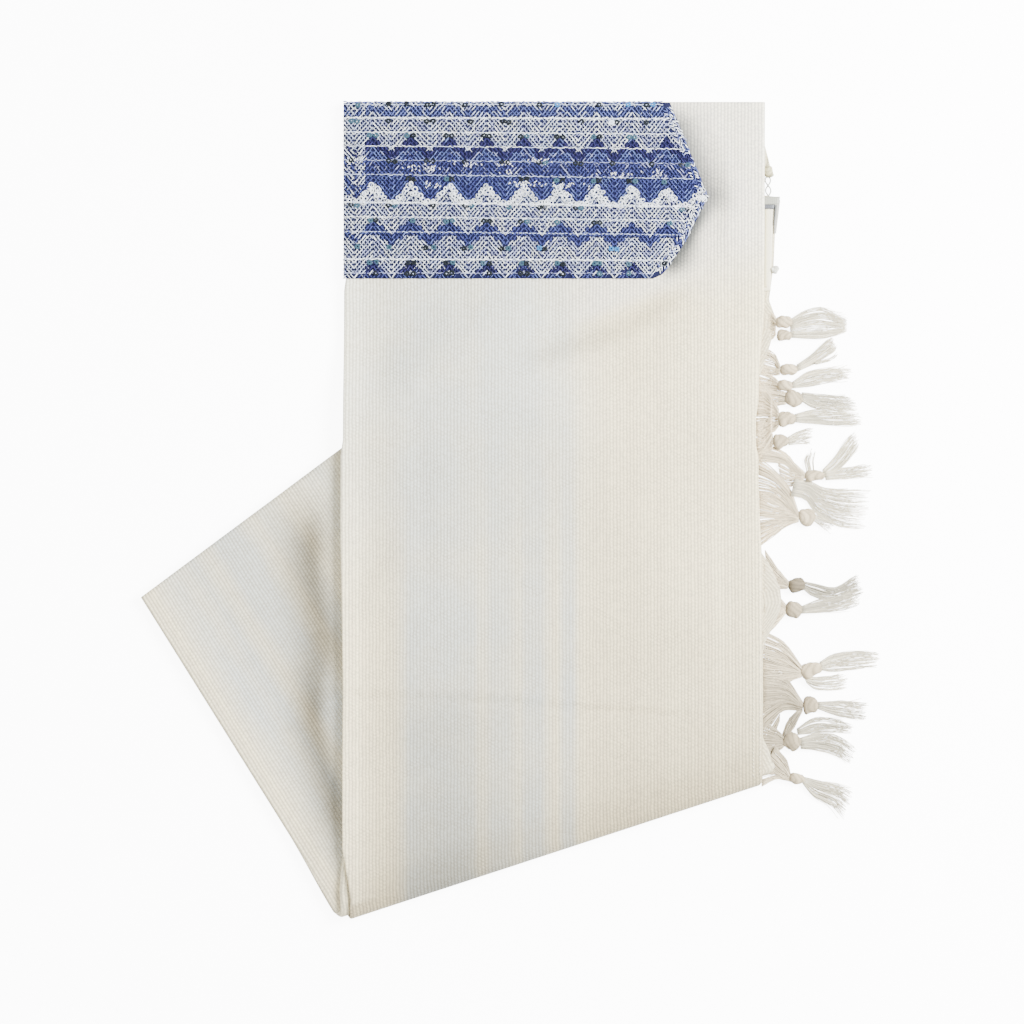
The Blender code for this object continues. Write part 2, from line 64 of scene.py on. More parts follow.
# %% Sizes that the solids give
NECK_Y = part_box("front_panel")[1].y / MM
FOLD_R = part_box("front_panel")[1].z / MM / 2      # outer radius of the turned end
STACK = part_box("flap_panel")[1].z / MM            # height of six layers
CLOTH = 0.9                                       # one layer
FOLD_LEFT = np.array((-109.0, -267.3))            # ends of the slanting fold
FOLD_RIGHT = np.array((163.5, -178.1))
FOLD_DRIFT = 0.22                                 # sideways drift round the fold
FLAP_TIP = np.array((-241.8, -56.4))              # corners of the tail's end
FLAP_HIDDEN = np.array((-27.0, 103.4))
RAMP_START = 2.0                                  # the strip sinks past the flap
RAMP_UP = 44.0                                    # over this distance up the strip
RAMP_ASIDE = 80.0                                 # and over this distance to its right
FOLD_ANGLE = math.atan2(*(FOLD_RIGHT - FOLD_LEFT)[::-1])
ALONG = np.array((math.cos(FOLD_ANGLE), math.sin(FOLD_ANGLE)))
OUTWARD = np.array((ALONG[1], -ALONG[0]))
print("strip height", round(STACK, 2), "fold radius", round(FOLD_R, 2))

# %% The edges of the strip, as rows of y and x
LEFT_FOLD = np.array((
    (266.5, -107.7), (153.4, -107.7), (143.6, -109.2), (46.2, -109.5), (36.4, -111.0),
    (-12.4, -111.2), (-57.9, -110.5), (-113.1, -109.5), (-171.0, -110.0), (-220.4, -109.8),
    (-233.4, -107.6), (-244.4, -105.8), (-255.0, -104.4), (-262.0, -105.6)))
LEFT_UNDER = np.array((
    (266.5, -106.5), (46.2, -108.4), (36.4, -110.0), (-12.4, -110.2), (-113.1, -108.6),
    (-220.4, -109.4), (-233.4, -111.2), (-246.4, -112.0), (-262.0, -111.0)))
RIGHT_FOLD = np.array((
    (266.5, 165.4), (130.7, 164.9), (91.0, 161.5), (72.0, 161.2), (62.0, 159.6), (43.0, 159.6),
    (35.8, 161.2), (20.2, 161.2), (-3.3, 162.0), (-36.4, 163.5), (-103.4, 162.8), (-180.0, 163.2)))
UPPER_END = np.array((
    (266.5, 161.0), (206.4, 161.8), (205.4, 174.8), (183.3, 172.3), (159.9, 171.3),
    (143.7, 169.1), (137.2, 168.3), (127.4, 171.9), (117.7, 171.5), (107.9, 169.0),
    (98.0, 166.0), (88.0, 162.0), (80.0, 158.5), (-20.0, 158.5), (-27.0, 163.0), (-36.0, 168.5),
    (-46.0, 172.5), (-54.0, 175.3), (-62.0, 176.0), (-69.0, 174.5), (-78.0, 170.0),
    (-86.0, 165.0), (-92.0, 163.5), (-148.0, 163.5), (-157.0, 167.5), (-172.0, 171.0)))
LOWER_END = np.array((
    (266.5, 160.3), (143.7, 165.4), (124.2, 168.0), (107.9, 168.0), (98.0, 164.5),
    (88.0, 161.0), (80.0, 158.0), (-20.0, 158.0), (-30.0, 163.5), (-57.9, 166.0),
    (-80.0, 164.0), (-148.9, 163.5), (-160.0, 168.5), (-172.0, 172.5)))


def table_x(table, y):
    """x of an edge at heights y: straight between the table's rows."""
    order = np.argsort(table[:, 0])
    return np.interp(y, table[order, 0], table[order, 1])


def smooth(t):
    """0 below 0, 1 above 1, and an S-shaped step between: 3t^2 - 2t^3."""
    t = np.clip(t, 0.0, 1.0)
    return t * t * (3.0 - 2.0 * t)


def turn_y(x):
    """y of the line where the front starts to turn under."""
    return FOLD_LEFT[1] + (x - FOLD_LEFT[0]) * ALONG[1] / ALONG[0] + FOLD_R / ALONG[0]


def edge_at(table, w, datum, tail_x):
    """x of an edge along the strip: the table in the front, a fixed x in the tail."""
    y = NECK_Y + (turn_y(datum) - NECK_Y) * np.minimum(w, 1.0)
    fade = smooth((w - 2.0) / 0.25)
    return table_x(table, y) * (1 - fade) + tail_x * fade


# %% [markdown]
# ## Creases and ridges
# The cloth was folded, carried and laid down again, so it has a few soft troughs
# and one sharp crease. Each is a given line and a profile across it. A
# cloth simulation would give creases too, but not these ones in these places.

# %% Relief of the front and of the flap
# kind, depth or height, width, then the line's points
FRONT_CREASES = (
    ("soft", -1.9, 13.0, ((112, 152), (97, 120), (62, 98), (22, 88), (-16, 80))),
    ("soft", 1.5, 12.0, ((132, 138), (112, 98), (74, 76), (28, 66), (-20, 58))),
    ("soft", -1.7, 11.0, ((119, 232), (127, 200), (130, 168), (118, 134))),
    ("soft", 1.1, 9.0, ((139, 235), (143, 195), (140, 150))),
    ("step", 1.5, 9.0, ((-109, -118), (-14, -121), (70, -128), (136, -133))),
    ("soft", 1.0, 8.0, ((-60, -12), (-86, -46), (-106, -76))),
    ("soft", -0.7, 7.0, ((-64, 82), (-58, 10), (-53, -84))),
    ("soft", 0.8, 6.0, ((-70, 80), (-64, 84), (-57, 80))),
    ("soft", -0.7, 6.0, ((-33, 146), (-30, 128), (-28, 108))),
    ("soft", -0.7, 6.0, ((25, 146), (28, 126), (26, 104))),
    ("soft", 0.6, 7.0, ((4, 146), (2, 122), (0, 104))),
    ("soft", -0.7, 6.0, ((89, 146), (84, 130), (74, 112))),
    ("soft", 0.6, 14.0, ((60, -140), (92, -165), (124, -205))),
    ("soft", -0.6, 12.0, ((104, -135), (122, -160), (140, -188))),
    ("soft", -0.6, 16.0, ((-88, 40), (-86, -60), (-92, -150))),
    ("soft", 0.5, 18.0, ((20, 20), (26, -50), (16, -110))),
    ("soft", -0.5, 20.0, ((110, 60), (118, 0), (112, -80))),
)
FLAP_CREASES = (
    ("bank", -3.4, 11.0, ((-129, 16), (-136, -12), (-136, -45), (-128, -78), (-119, -100))),
    ("bank", -3.4, 10.0, ((-140, -96), (-137, -126), (-128, -160), (-119, -190), (-112, -222))),
    ("soft", 0.6, 14.0, ((-165, -60), (-150, -110), (-132, -165), (-120, -215))),
    ("soft", -0.5, 14.0, ((-200, -50), (-175, -90), (-155, -130))),
)
# painted shade on the flap along the same troughs, and painted reflected light beside the front's edge
FLAP_SHADES = (
    ("bank", 0.67, 11.5, ((-128, 18), (-131, -10), (-131, -38), (-126, -68), (-118, -96), (-110, -118))),
    ("bank", 0.70, 10.0, ((-116, -76), (-127, -110), (-129, -140), (-123, -166), (-116, -192), (-109, -240))),
    ("soft", -0.16, 8.0, ((-110, 60), (-112, 0), (-112, -80), (-112, -160), (-110, -250))),
)
# painted shade on the front: along the slack that runs to the band's foot, beside the band and on a ridge
FRONT_SHADES = (
    ("soft", 0.26, 8.0, ((132, 160), (112, 143), (95, 130), (66, 116), (36, 106), (-10, 92))),
    ("soft", 0.17, 5.0, ((130, 256), (134, 234), (137, 215), (138, 198), (134, 172))),
    ("soft", 0.07, 14.0, ((-60, -12), (-86, -46), (-106, -76))),
)


def crease(kind, size, wide, line, x, y):
    """Height of one crease over plan points.

    Each stretch of the line gives a distance across, d, and how far along it the
    point lies. A soft crease is size * exp(-(d / wide)^2); a step is high on one
    side and sinks away from the line, and a bank is wider on its right.
    All fade out past the line's two ends.
    """
    line = np.array(line, float)
    best = np.full(np.shape(x), np.inf)
    side = np.zeros(np.shape(x))
    along = np.zeros(np.shape(x))
    runs = np.hypot(*(line[1:] - line[:-1]).T)
    before = np.concatenate(([0.0], np.cumsum(runs)))
    for a, b, run, start in zip(line[:-1], line[1:], runs, before):
        t = ((x - a[0]) * (b - a)[0] + (y - a[1]) * (b - a)[1]) / run**2
        near = np.clip(t, 0.0, 1.0)
        far = np.hypot(x - a[0] - (b - a)[0] * near, y - a[1] - (b - a)[1] * near)
        cross = ((b - a)[0] * (y - a[1]) - (b - a)[1] * (x - a[0])) / run
        closer = far < best
        best = np.where(closer, far, best)
        side = np.where(closer, cross, side)
        along = np.where(closer, start + near * run, along)
    total = before[-1]
    ends = smooth(along / (0.3 * total)) * smooth((total - along) / (0.3 * total))
    if kind == "step":
        ends = smooth((along + 8.0) / 8.0) * smooth((total - along) / (0.2 * total))
        shape = np.where(side > 0, np.exp(-best / (1.6 * wide)), -0.5 * np.exp(-best / (0.35 * wide)))
        shape = shape * smooth((best + 1.2) / 2.4)
    else:
        reach = np.where(side > 0, wide, 1.8 * wide) if kind == "bank" else wide
        shape = np.exp(-((best / reach) ** 2))
    return size * shape * ends


def relief(creases, x, y):
    """Sum of a table's creases over plan points."""
    return sum(crease(kind, size, wide, line, x, y) for kind, size, wide, line in creases)


# %% The rule that lays the strip
def beyond(x, y, a, b):
    """Distance of plan points to the left of the line from a to b, or 0."""
    run = (b - a) / np.hypot(*(b - a))
    return np.maximum((y - a[1]) * run[0] - (x - a[0]) * run[1], 0.0)


HEEL = np.array((172.3, -166.9))  # the flap's edge comes out from under the turn here
LEVEL = (-86.2, 140.8)            # x past which the strip gets no higher or lower


def rise(x, y):
    """How far the flap under it lifts the strip: its height, falling away past it."""
    x = np.clip(x, *LEVEL)
    away = np.hypot(np.maximum(beyond(x, y, FLAP_TIP, FLAP_HIDDEN) - RAMP_START, 0.0) / RAMP_UP,
                    np.maximum(beyond(x, y, FLAP_HIDDEN, HEEL) - RAMP_START, 0.0) / RAMP_ASIDE)
    return 2 * (FOLD_R - STACK / 2) * smooth(1.0 - away)


def strip(x, w, depth):
    """Points at x across, w along and depth under the outer face.

    Front: straight down from the neck edge, on the flap or the table. Turn: a half
    circle of radius FOLD_R - depth about the fold's axis. Tail: straight from
    there to the tail's end, lying depth above the table.
    """
    x, w, depth = np.broadcast_arrays(np.asarray(x, float), w, depth)
    y = NECK_Y + (turn_y(x) - NECK_Y) * np.minimum(w, 1.0)
    phi = np.pi * np.clip(w - 1.0, 0.0, 1.0)
    out = (FOLD_R - depth) * np.sin(phi)
    drift = FOLD_DRIFT * FOLD_R * phi
    plan = np.stack((x + OUTWARD[0] * out - ALONG[0] * drift,
                     y + OUTWARD[1] * out - ALONG[1] * drift), -1)
    side = ((x - FOLD_LEFT[0]) / (FOLD_RIGHT - FOLD_LEFT)[0])[..., None]
    end = FLAP_TIP * (1 - side) + FLAP_HIDDEN * side
    plan = plan + (end - plan) * np.clip(w - 2.0, 0.0, 1.0)[..., None]
    high = 1.0 - depth / STACK
    lifted = STACK - depth + rise(x, y) + relief(FRONT_CREASES, x, y) * high * smooth((1 - w) / 0.05)
    turned = FOLD_R + (FOLD_R - depth) * np.cos(phi)
    lain = depth + relief(FLAP_CREASES, plan[..., 0], plan[..., 1]) * (1 - high) * smooth((w - 2) / 0.1)
    z = np.where(w <= 1.0, lifted, np.where(w < 2.0, turned, lain))
    return np.concatenate((plan, z[..., None]), -1)


# %% [markdown]
# ## From a grid to a mesh
# A sheet is a grid of points. put_mesh() writes the whole grid into a mesh with
# foreach_set, which is far quicker than adding one face at a time. The UV map
# holds the place in the flat cloth, in metres, so the weave bends with the folds.

# %% Grid and mesh helpers
def grid_faces(rows, columns, wrap=False, closed=False):
    """Quads of a grid: wrap joins its last column to the first, closed its rows."""
    j, i = np.meshgrid(np.arange(rows - (not closed)), np.arange(columns - (not wrap)), indexing="ij")
    above = (j + 1) % rows
    after = (i + 1) % columns
    quads = np.stack((j * columns + i, j * columns + after, above * columns + after, above * columns + i), -1)
    return quads.reshape(-1, 4)


def repeated(faces, stride, count):
    """The same faces count times over, each set stride points after the last."""
    return (faces[None] + stride * np.arange(count)[:, None, None]).reshape(-1, 4)


def put_mesh(name, points, faces, finish, uv=None, colours=None):
    """An object from points in mm, quads, UVs in metres and colours by point.

    A quad whose last corner is given twice is a triangle.
    """
    mesh = bpy.data.meshes.new(name)
    points = np.asarray(points, np.float32).reshape(-1, 3) * MM
    faces = np.asarray(faces, np.int32)
    used = np.ones(faces.shape, bool)
    used[:, 3] = faces[:, 3] != faces[:, 2]
    corners = faces[used]
    mesh.vertices.add(len(points))
    mesh.vertices.foreach_set("co", points.ravel())
    mesh.loops.add(len(corners))
    mesh.loops.foreach_set("vertex_index", corners)
    mesh.polygons.add(len(faces))
    mesh.polygons.foreach_set("loop_start", (np.cumsum(used.sum(1)) - used.sum(1)).astype(np.int32))
    mesh.update(calc_edges=True)
    if uv is not None:
        layer = mesh.uv_layers.new(name="cloth")
        layer.data.foreach_set("uv", np.asarray(uv, np.float32).reshape(-1, 2)[corners].ravel())
    if colours is not None:
        colours = np.asarray(colours, np.float32).reshape(-1, 3)
        opaque = np.ones((len(colours), 1), np.float32)
        layer = mesh.color_attributes.new("yarn", "FLOAT_COLOR", "POINT")
        layer.data.foreach_set("color", np.hstack((colours, opaque)).ravel())
    mesh.shade_smooth()
    mesh.materials.append(finish)
    made = bpy.data.objects.new(name, mesh)
    bpy.context.scene.collection.objects.link(made)
    return made


def give_wall(piece, thickness):
    """Half the wall on each side of the grid, with its rim closed."""
    shell = piece.modifiers.new("Wall", "SOLIDIFY")
    shell.thickness = thickness * MM
    shell.offset = 0.0
    return piece


# %% [markdown]
# ## The weave
# Under a glass the cloth is a mesh of small loops: bright warp ribs 2.2 mm apart
# and, between them, darker hollows that step by half a loop from rib to rib. One
# node group works it out from the UV map. It puts out a height for a Bump node
# and a mask that paints shade into the hollows, and each cloth material uses the
# group with its own values.

# %% Node helpers
def nodes_of(tree):
    """Short hands for a node tree: add a node, add a Math node, join two sockets."""
    def add(kind, **settings):
        node = tree.nodes.new(kind)
        for key, value in settings.items():
            setattr(node, key, value)
        return node

    def maths(operation, a, b=None, c=None, clamp=False):
        node = add("ShaderNodeMath", operation=operation, use_clamp=clamp)
        for socket, value in zip(node.inputs, (a, b, c)):
            if isinstance(value, bpy.types.NodeSocket):
                tree.links.new(value, socket)
            elif value is not None:
                socket.default_value = value
        return node.outputs[0]

    return add, maths, tree.links.new


def noise(add, join, place, scale, detail, dimensions="2D"):
    """Soft noise read at a place: values round 0.5."""
    texture = add("ShaderNodeTexNoise", noise_dimensions=dimensions)
    texture.inputs["Scale"].default_value = scale
    texture.inputs["Detail"].default_value = detail
    join(place, texture.inputs["Vector"])
    return texture.outputs["Fac"]


def raised(add, join, shader, height, strength, distance):
    """Relief on a shader: a height mask through a Bump node, distance in mm."""
    bump = add("ShaderNodeBump")
    bump.inputs["Strength"].default_value = strength
    bump.inputs["Distance"].default_value = distance * MM
    join(height, bump.inputs["Height"])
    join(bump.outputs["Normal"], shader.inputs["Normal"])


def new_group(name, inputs, outputs):
    """A shader node group: inputs of name, kind and default, outputs of name and kind."""
    tree = bpy.data.node_groups.new(name, "ShaderNodeTree")
    for label, kind, default in inputs:
        socket = tree.interface.new_socket(label, in_out="INPUT", socket_type=kind)
        if default is not None:
            socket.default_value = default
    for label, kind in outputs:
        tree.interface.new_socket(label, in_out="OUTPUT", socket_type=kind)
    return tree, tree.nodes.new("NodeGroupInput"), tree.nodes.new("NodeGroupOutput")


def ribbed_weave():
    """Group: u and v -> Height of the weave, Hollow, a mask of its darker places that
    paints shade into them, and Warp, a number of its own for every rib.

    Rib: cos(2 pi u / pitch). Loop: cos(2 pi v / loop + pi on every other rib),
    stronger in some patches than in others. Fibre noise is added to both, and
    each stitch is a little lighter or darker than the next.
    """
    tree, source, sink = new_group(
        "ribbed_weave",
        (("UV", "NodeSocketVector", None), ("Pitch", "NodeSocketFloat", 2.2),
         ("Loop", "NodeSocketFloat", 2.35), ("Uneven", "NodeSocketFloat", 0.8)),
        (("Height", "NodeSocketFloat"), ("Hollow", "NodeSocketFloat"), ("Warp", "NodeSocketFloat")))
    add, maths, join = nodes_of(tree)
    scaled = add("ShaderNodeVectorMath", operation="SCALE")
    scaled.inputs["Scale"].default_value = 1 / MM
    join(source.outputs["UV"], scaled.inputs[0])
    wander = noise(add, join, scaled.outputs[0], 0.12, 1.0)
    apart = add("ShaderNodeSeparateXYZ")
    join(scaled.outputs[0], apart.inputs[0])
    shift = maths("MULTIPLY", maths("SUBTRACT", wander, 0.5), source.outputs["Uneven"])
    across = maths("DIVIDE", maths("ADD", apart.outputs["X"], shift), source.outputs["Pitch"])
    along = maths("DIVIDE", apart.outputs["Y"], source.outputs["Loop"])
    rib = maths("COSINE", maths("MULTIPLY", across, 2 * math.pi))
    nearest = maths("FLOOR", maths("ADD", across, 0.5))
    along = maths("ADD", along, maths("MULTIPLY", nearest, 0.5))
    loop = maths("COSINE", maths("MULTIPLY", along, 2 * math.pi))
    patchy = noise(add, join, scaled.outputs[0], 0.07, 2.0)
    dots = maths("MULTIPLY", loop, maths("MULTIPLY_ADD", patchy, 1.5, -0.3, clamp=True))
    dots = maths("MULTIPLY", dots, maths("MULTIPLY_ADD", rib, 0.4, 0.6))
    own = add("ShaderNodeTexWhiteNoise", noise_dimensions="1D")
    join(nearest, own.inputs["W"])
    join(own.outputs["Value"], sink.inputs["Warp"])
    fibre = maths("SUBTRACT", noise(add, join, scaled.outputs[0], 1.9, 2.0), 0.5)
    height = maths("ADD", maths("MULTIPLY", rib, 0.45), maths("MULTIPLY", dots, 0.55))
    join(maths("ADD", height, fibre), sink.inputs["Height"])
    stitch = add("ShaderNodeCombineXYZ")
    join(nearest, stitch.inputs["X"])
    join(maths("FLOOR", maths("MULTIPLY", along, 2.0)), stitch.inputs["Y"])
    each = add("ShaderNodeTexWhiteNoise", noise_dimensions="2D")
    join(stitch.outputs[0], each.inputs["Vector"])
    hollow = maths("MULTIPLY_ADD", height, -0.62, 0.42)
    hollow = maths("ADD", hollow, maths("MULTIPLY_ADD", each.outputs["Value"], 0.3, -0.15))
    join(maths("ADD", hollow, maths("MULTIPLY", fibre, 0.6), clamp=True), sink.inputs["Hollow"])
    return tree


WEAVE = ribbed_weave()
print("weave group with", len(WEAVE.nodes), "nodes")

# %% [markdown]
# ## Cream cloth with faint stripes
# Bundles of grey-blue and beige warp run along the ribs. A colour ramp read
# across the cloth charts them: 0 is cream and 1 is grey-blue. They are plainer
# towards the tail and fade out towards the neckband, where the cloth is whiter.

# %% Stripes and the cloth's material
STRIP_WIDE = 274.0
# mm from the strip's left edge, and how grey the warp is there
FRONT_STRIPES = ((0, 0.0), (24, 0.0), (33, 0.12), (38, 0.4), (43, 0.95), (54, 0.95), (62, 1.05),
                 (72, 1.05), (78, 0.9), (84, 0.9), (88, 0.5), (92, 0.5), (97, 0.85), (106, 0.8),
                 (110, 0.6), (114, 0.4), (118, 0.85), (128, 0.9), (132, 0.45), (138, 0.1),
                 (143, 0.8), (148, 0.9), (153, 0.1), (156, 0.0))
NECK_STRIPES = ((0, 0.7), (24, 0.75), (32, 0.9), (60, 1.0), (76, 0.95), (84, 0.85), (94, 1.0),
                (104, 0.9), (118, 0.95), (132, 0.8), (144, 0.75), (150, 0.5), (156, 0.28), (170, 0.1),
                (190, 0.0))
FLAP_STRIPES = ((0, 0.2), (8, 0.1), (16, 0.5), (26, 0.9), (34, 0.7), (42, 0.95), (48, 0.55), (54, 0.4),
                (62, 0.9), (76, 1.0), (84, 0.6), (92, 0.4), (98, 0.7), (108, 0.65), (116, 0.35),
                (130, 0.5), (145, 0.8), (160, 0.4))
CREAM = (0.99, 0.87, 0.545)
GREY_BLUE = (0.63, 0.66, 0.60)
ROSY_WARP = (0.64, 0.50, 0.35)
HOLLOW_SHADE = (0.34, 0.31, 0.23)


def principled(name, roughness):
    """A material with its shader, node tree and short hands."""
    made = bpy.data.materials.new(name)
    made.use_nodes = True
    shader = made.node_tree.nodes["Principled BSDF"]
    shader.inputs["Roughness"].default_value = roughness
    return made, shader, nodes_of(made.node_tree)


def blend_colours(add, join, factor, first, second, mode="MIX"):
    """A mix node's colour: first where factor is 0; where it is 1, second, or in
    MULTIPLY mode the two multiplied."""
    mix = add("ShaderNodeMix", data_type="RGBA", blend_type=mode)
    for socket, value in ((mix.inputs["Factor"], factor), (mix.inputs["A"], first),
                          (mix.inputs["B"], second)):
        if isinstance(value, bpy.types.NodeSocket):
            join(value, socket)
        elif isinstance(value, tuple):
            socket.default_value = (*value, 1.0)
        else:
            socket.default_value = value
    return mix.outputs["Result"]


def shawl_cloth(name, stripes, neck_stripes, change):
    """Ribbed cloth: warp striped one way near the neck edge and another past it."""
    made, shader, (add, maths, join) = principled(name, 0.85)
    shader.inputs["Sheen Weight"].default_value = 0.12
    shader.inputs["Sheen Roughness"].default_value = 0.5
    shader.inputs["Specular IOR Level"].default_value = 0.25
    place = add("ShaderNodeUVMap", uv_map="cloth")
    apart = add("ShaderNodeSeparateXYZ")
    join(place.outputs["UV"], apart.inputs[0])

    def striped(chart):
        ramp = add("ShaderNodeValToRGB")
        join(maths("DIVIDE", apart.outputs["X"], STRIP_WIDE * MM), ramp.inputs["Fac"])
        while len(ramp.color_ramp.elements) < len(chart):
            ramp.color_ramp.elements.new(0.5)
        for element, (u, grey) in zip(ramp.color_ramp.elements, chart):
            element.position = u / STRIP_WIDE
            element.color = (grey, grey, grey, 1.0)
        return ramp.outputs["Color"]

    fade = add("ShaderNodeMapRange", interpolation_type="SMOOTHSTEP")
    join(apart.outputs["Y"], fade.inputs["Value"])
    fade.inputs["From Min"].default_value = change[0] * MM
    fade.inputs["From Max"].default_value = change[1] * MM
    mottle = noise(add, join, place.outputs["UV"], 22.0, 3.0)
    greyness = blend_colours(add, join, fade.outputs["Result"], striped(neck_stripes), striped(stripes))
    greyness = maths("MULTIPLY", greyness, maths("MULTIPLY_ADD", mottle, 0.9, 0.55))
    weave = add("ShaderNodeGroup", node_tree=WEAVE)
    join(place.outputs["UV"], weave.inputs["UV"])
    colour = blend_colours(add, join, maths("MULTIPLY", weave.outputs["Warp"], 0.3), CREAM, ROSY_WARP)
    colour = blend_colours(add, join, greyness, colour, GREY_BLUE)
    # painted shade in the weave's hollows, mixed into the colour
    colour = blend_colours(add, join, maths("MULTIPLY", weave.outputs["Hollow"], 0.85),
                           colour, HOLLOW_SHADE)
    # the mesh's colour attribute holds the painted shade and light of each sheet
    painted_tone = add("ShaderNodeAttribute", attribute_name="yarn")
    colour = blend_colours(add, join, 1.0, colour, painted_tone.outputs["Color"], "MULTIPLY")
    join(colour, shader.inputs["Base Color"])
    raised(add, join, shader, weave.outputs["Height"], 0.7, 0.32)
    return made


# v in mm between which the neck's stripes give way to the others
NECK_FADE = (170, 370)
NO_FADE = (-200, -100)
FRONT_CLOTH = shawl_cloth("front_cloth", FRONT_STRIPES, NECK_STRIPES, NECK_FADE)
FLAP_CLOTH = shawl_cloth("flap_cloth", FLAP_STRIPES, FLAP_STRIPES, NO_FADE)

# %% [markdown]
# ## The folded sheets
# In cross-section the folded shawl is one long S. From the top: the front, round
# the right-hand edge, back to a fold inside the left-hand edge, and out to the
# upper fringed end; and from the fold at the neckband down through three more
# layers to the lower fringed end. A profile lists where each column of the grid
# lies, as an offset from the left (0) or the right (1) edge and a depth, and the
# same profile is carried along the whole strip with strip().

# %% Profiles across the strip
PAIR_R = 1.3                      # outer radius of a fold that holds two layers
RIGHT_R = 2.6                     # of the right-hand edge, which holds four
FOUR_R = 2.4                      # of the left-hand fold under the front
FOUR_DEPTH = 5.4                  # depth of its axis
TUCK = 8.0                        # cloth followed behind a fold


def arc(side, centre, radius, steps, from_top=True):
    """Columns round an edge fold: (side, offset, depth) by angle."""
    middle = radius - CLOTH / 2
    a = np.linspace(-np.pi / 2, np.pi / 2, steps + 1) * (1 if from_top else -1)
    out = radius - middle * np.cos(a)
    return np.stack((np.full(a.shape, float(side)), out * (1 - 2 * side),
                     centre + middle * np.sin(a)), -1)


def across(start, stop, count):
    """Columns from one (side, offset, depth) to another, ends left out."""
    t = np.linspace(0, 1, count + 2)[1:-1, None]
    return np.array(start) * (1 - t) + np.array(stop) * t


def runs(w_parts):
    """Places along the strip from (start, stop, steps) parts."""
    pieces = [np.linspace(a, b, n, endpoint=False) for a, b, n in w_parts]
    return np.concatenate(pieces + [[w_parts[-1][1]]])


# %% Painted shade and light on the cloth, from place to place
SHADE_RGB = np.array((0.97, 1.0, 1.05))     # how much of the painted shade reaches red, green and blue
COOLED = np.array((0.03, -0.05, -0.38))  # the same for the cool light beside the neckband
SHADED = np.array((1.04, 1.0, 0.94))     # powers of the shade at the neckband's point
POINT_SIDES = tuple(np.array(p) for p in ((103.5, 263.5), (128.2, 205.0), (113.6, 176.0), (101.5, 158.0)))
UPPER_SHADE, UPPER_REACH = 0.73, 12.5    # beside the band's long side, and how far it reaches
LOWER_SHADE, LOWER_REACH = 0.89, (7.0, 12.0)  # under its point, from the corner to the foot


def unshaded(x, y, u, w):
    """No painted shade or light."""
    return 0.0 * (x + u)[..., None] * SHADE_RGB


def shade_at_point(x, y):
    """Shade of the neckband's edge on the cloth.

    amount * exp(-(distance off the band / reach)^power), softer beside the long
    side than under the point, and faded out at both ends of the edge.
    """
    off_band = np.maximum.reduce([beyond(x, y, a, b) for a, b in zip(POINT_SIDES[:-1], POINT_SIDES[1:])])
    low = smooth((202 - y) / 12)
    reach = LOWER_REACH[0] + (LOWER_REACH[1] - LOWER_REACH[0]) * smooth((184 - y) / 26)
    upper = UPPER_SHADE * np.exp(-((off_band / UPPER_REACH) ** 1.9)) * smooth((272 - y) / 22)
    lower = LOWER_SHADE * np.exp(-((off_band / reach) ** 2.4))
    return ((1 - low) * upper + low * lower) * smooth((y - 146) / 16) * smooth((x - 95) / 8)


def cool_above_slack(x, y):
    """Cool light above the slack line from the band's foot, softer to the right."""
    slack_line = 107.9 + 0.366 * (x - 18.5)
    soft = smooth((x - 95) / 45)
    amount = 0.65 + 0.25 * smooth((y - 140) / 70)
    return smooth((y - slack_line + 30 * soft) / (12 + 46 * soft)) * amount * smooth((x - 25) / 35)


def front_painted_shade(x, y, u, w):
    """How much painted shade and light the front gets, by colour.

    Smooth steps in y, u and the height above the turn make it darker in its
    middle, towards the bottom and in a patch at the lower left, with painted shade
    towards the fold it turns on, a painted highlight at its left-hand fold and painted
    shade along the FRONT_SHADES lines. The painted shadow of the band and the painted
    cool light multiply what is left.
    """
    facing_up = w < 1
    above = (y - turn_y(x)) * smooth(1.5 - w) + 0.0 * u
    right_side = smooth((u - 205) / 40) * smooth((y + 60) / 40)
    middle = smooth((130 - y) / 60) * smooth((u - 150) / 30) * (1 - right_side)
    low_left = np.exp(-(((x + 45) / 42) ** 2)) * smooth((-95 - y) / 55)
    fold = np.exp(-((u / 16.0) ** 2)) * facing_up
    painted_dark = (0.05 * middle - 0.09 * smooth((y - 20) / 60) - 0.05 * smooth((u - 225) / 25)
            + 0.07 * smooth((-50 - y) / 50) + 0.16 * smooth((52 - above) / 50)
            + 0.16 * smooth((16 - above) / 18) + 0.20 * low_left - 0.42 * fold
            + relief(FRONT_SHADES, x, y) * facing_up)
    shade = (shade_at_point(x, y) * facing_up)[..., None]
    cool = (cool_above_slack(x, y) * facing_up)[..., None]
    return 1 - (1 - painted_dark[..., None] * SHADE_RGB) * (1 - shade) ** SHADED * (1 - cool * COOLED)


def flap_painted_shade(x, y, u, w):
    """Painted shade on the flap where it lies in the front's shade along its troughs; painted light beside
    the front's edge and near its own edge at u = 0.
    """
    shade = relief(FLAP_SHADES, x, y) * smooth((w - 2.0) / 0.08)
    return (shade - 0.16 * smooth((w - 2.0) / 0.3) * smooth((60 - u) / 50))[..., None] * SHADE_RGB


# %% From a profile to a sheet
LEFT_X, RIGHT_X = -109.0, 163.0   # mean places of the strip's two edges


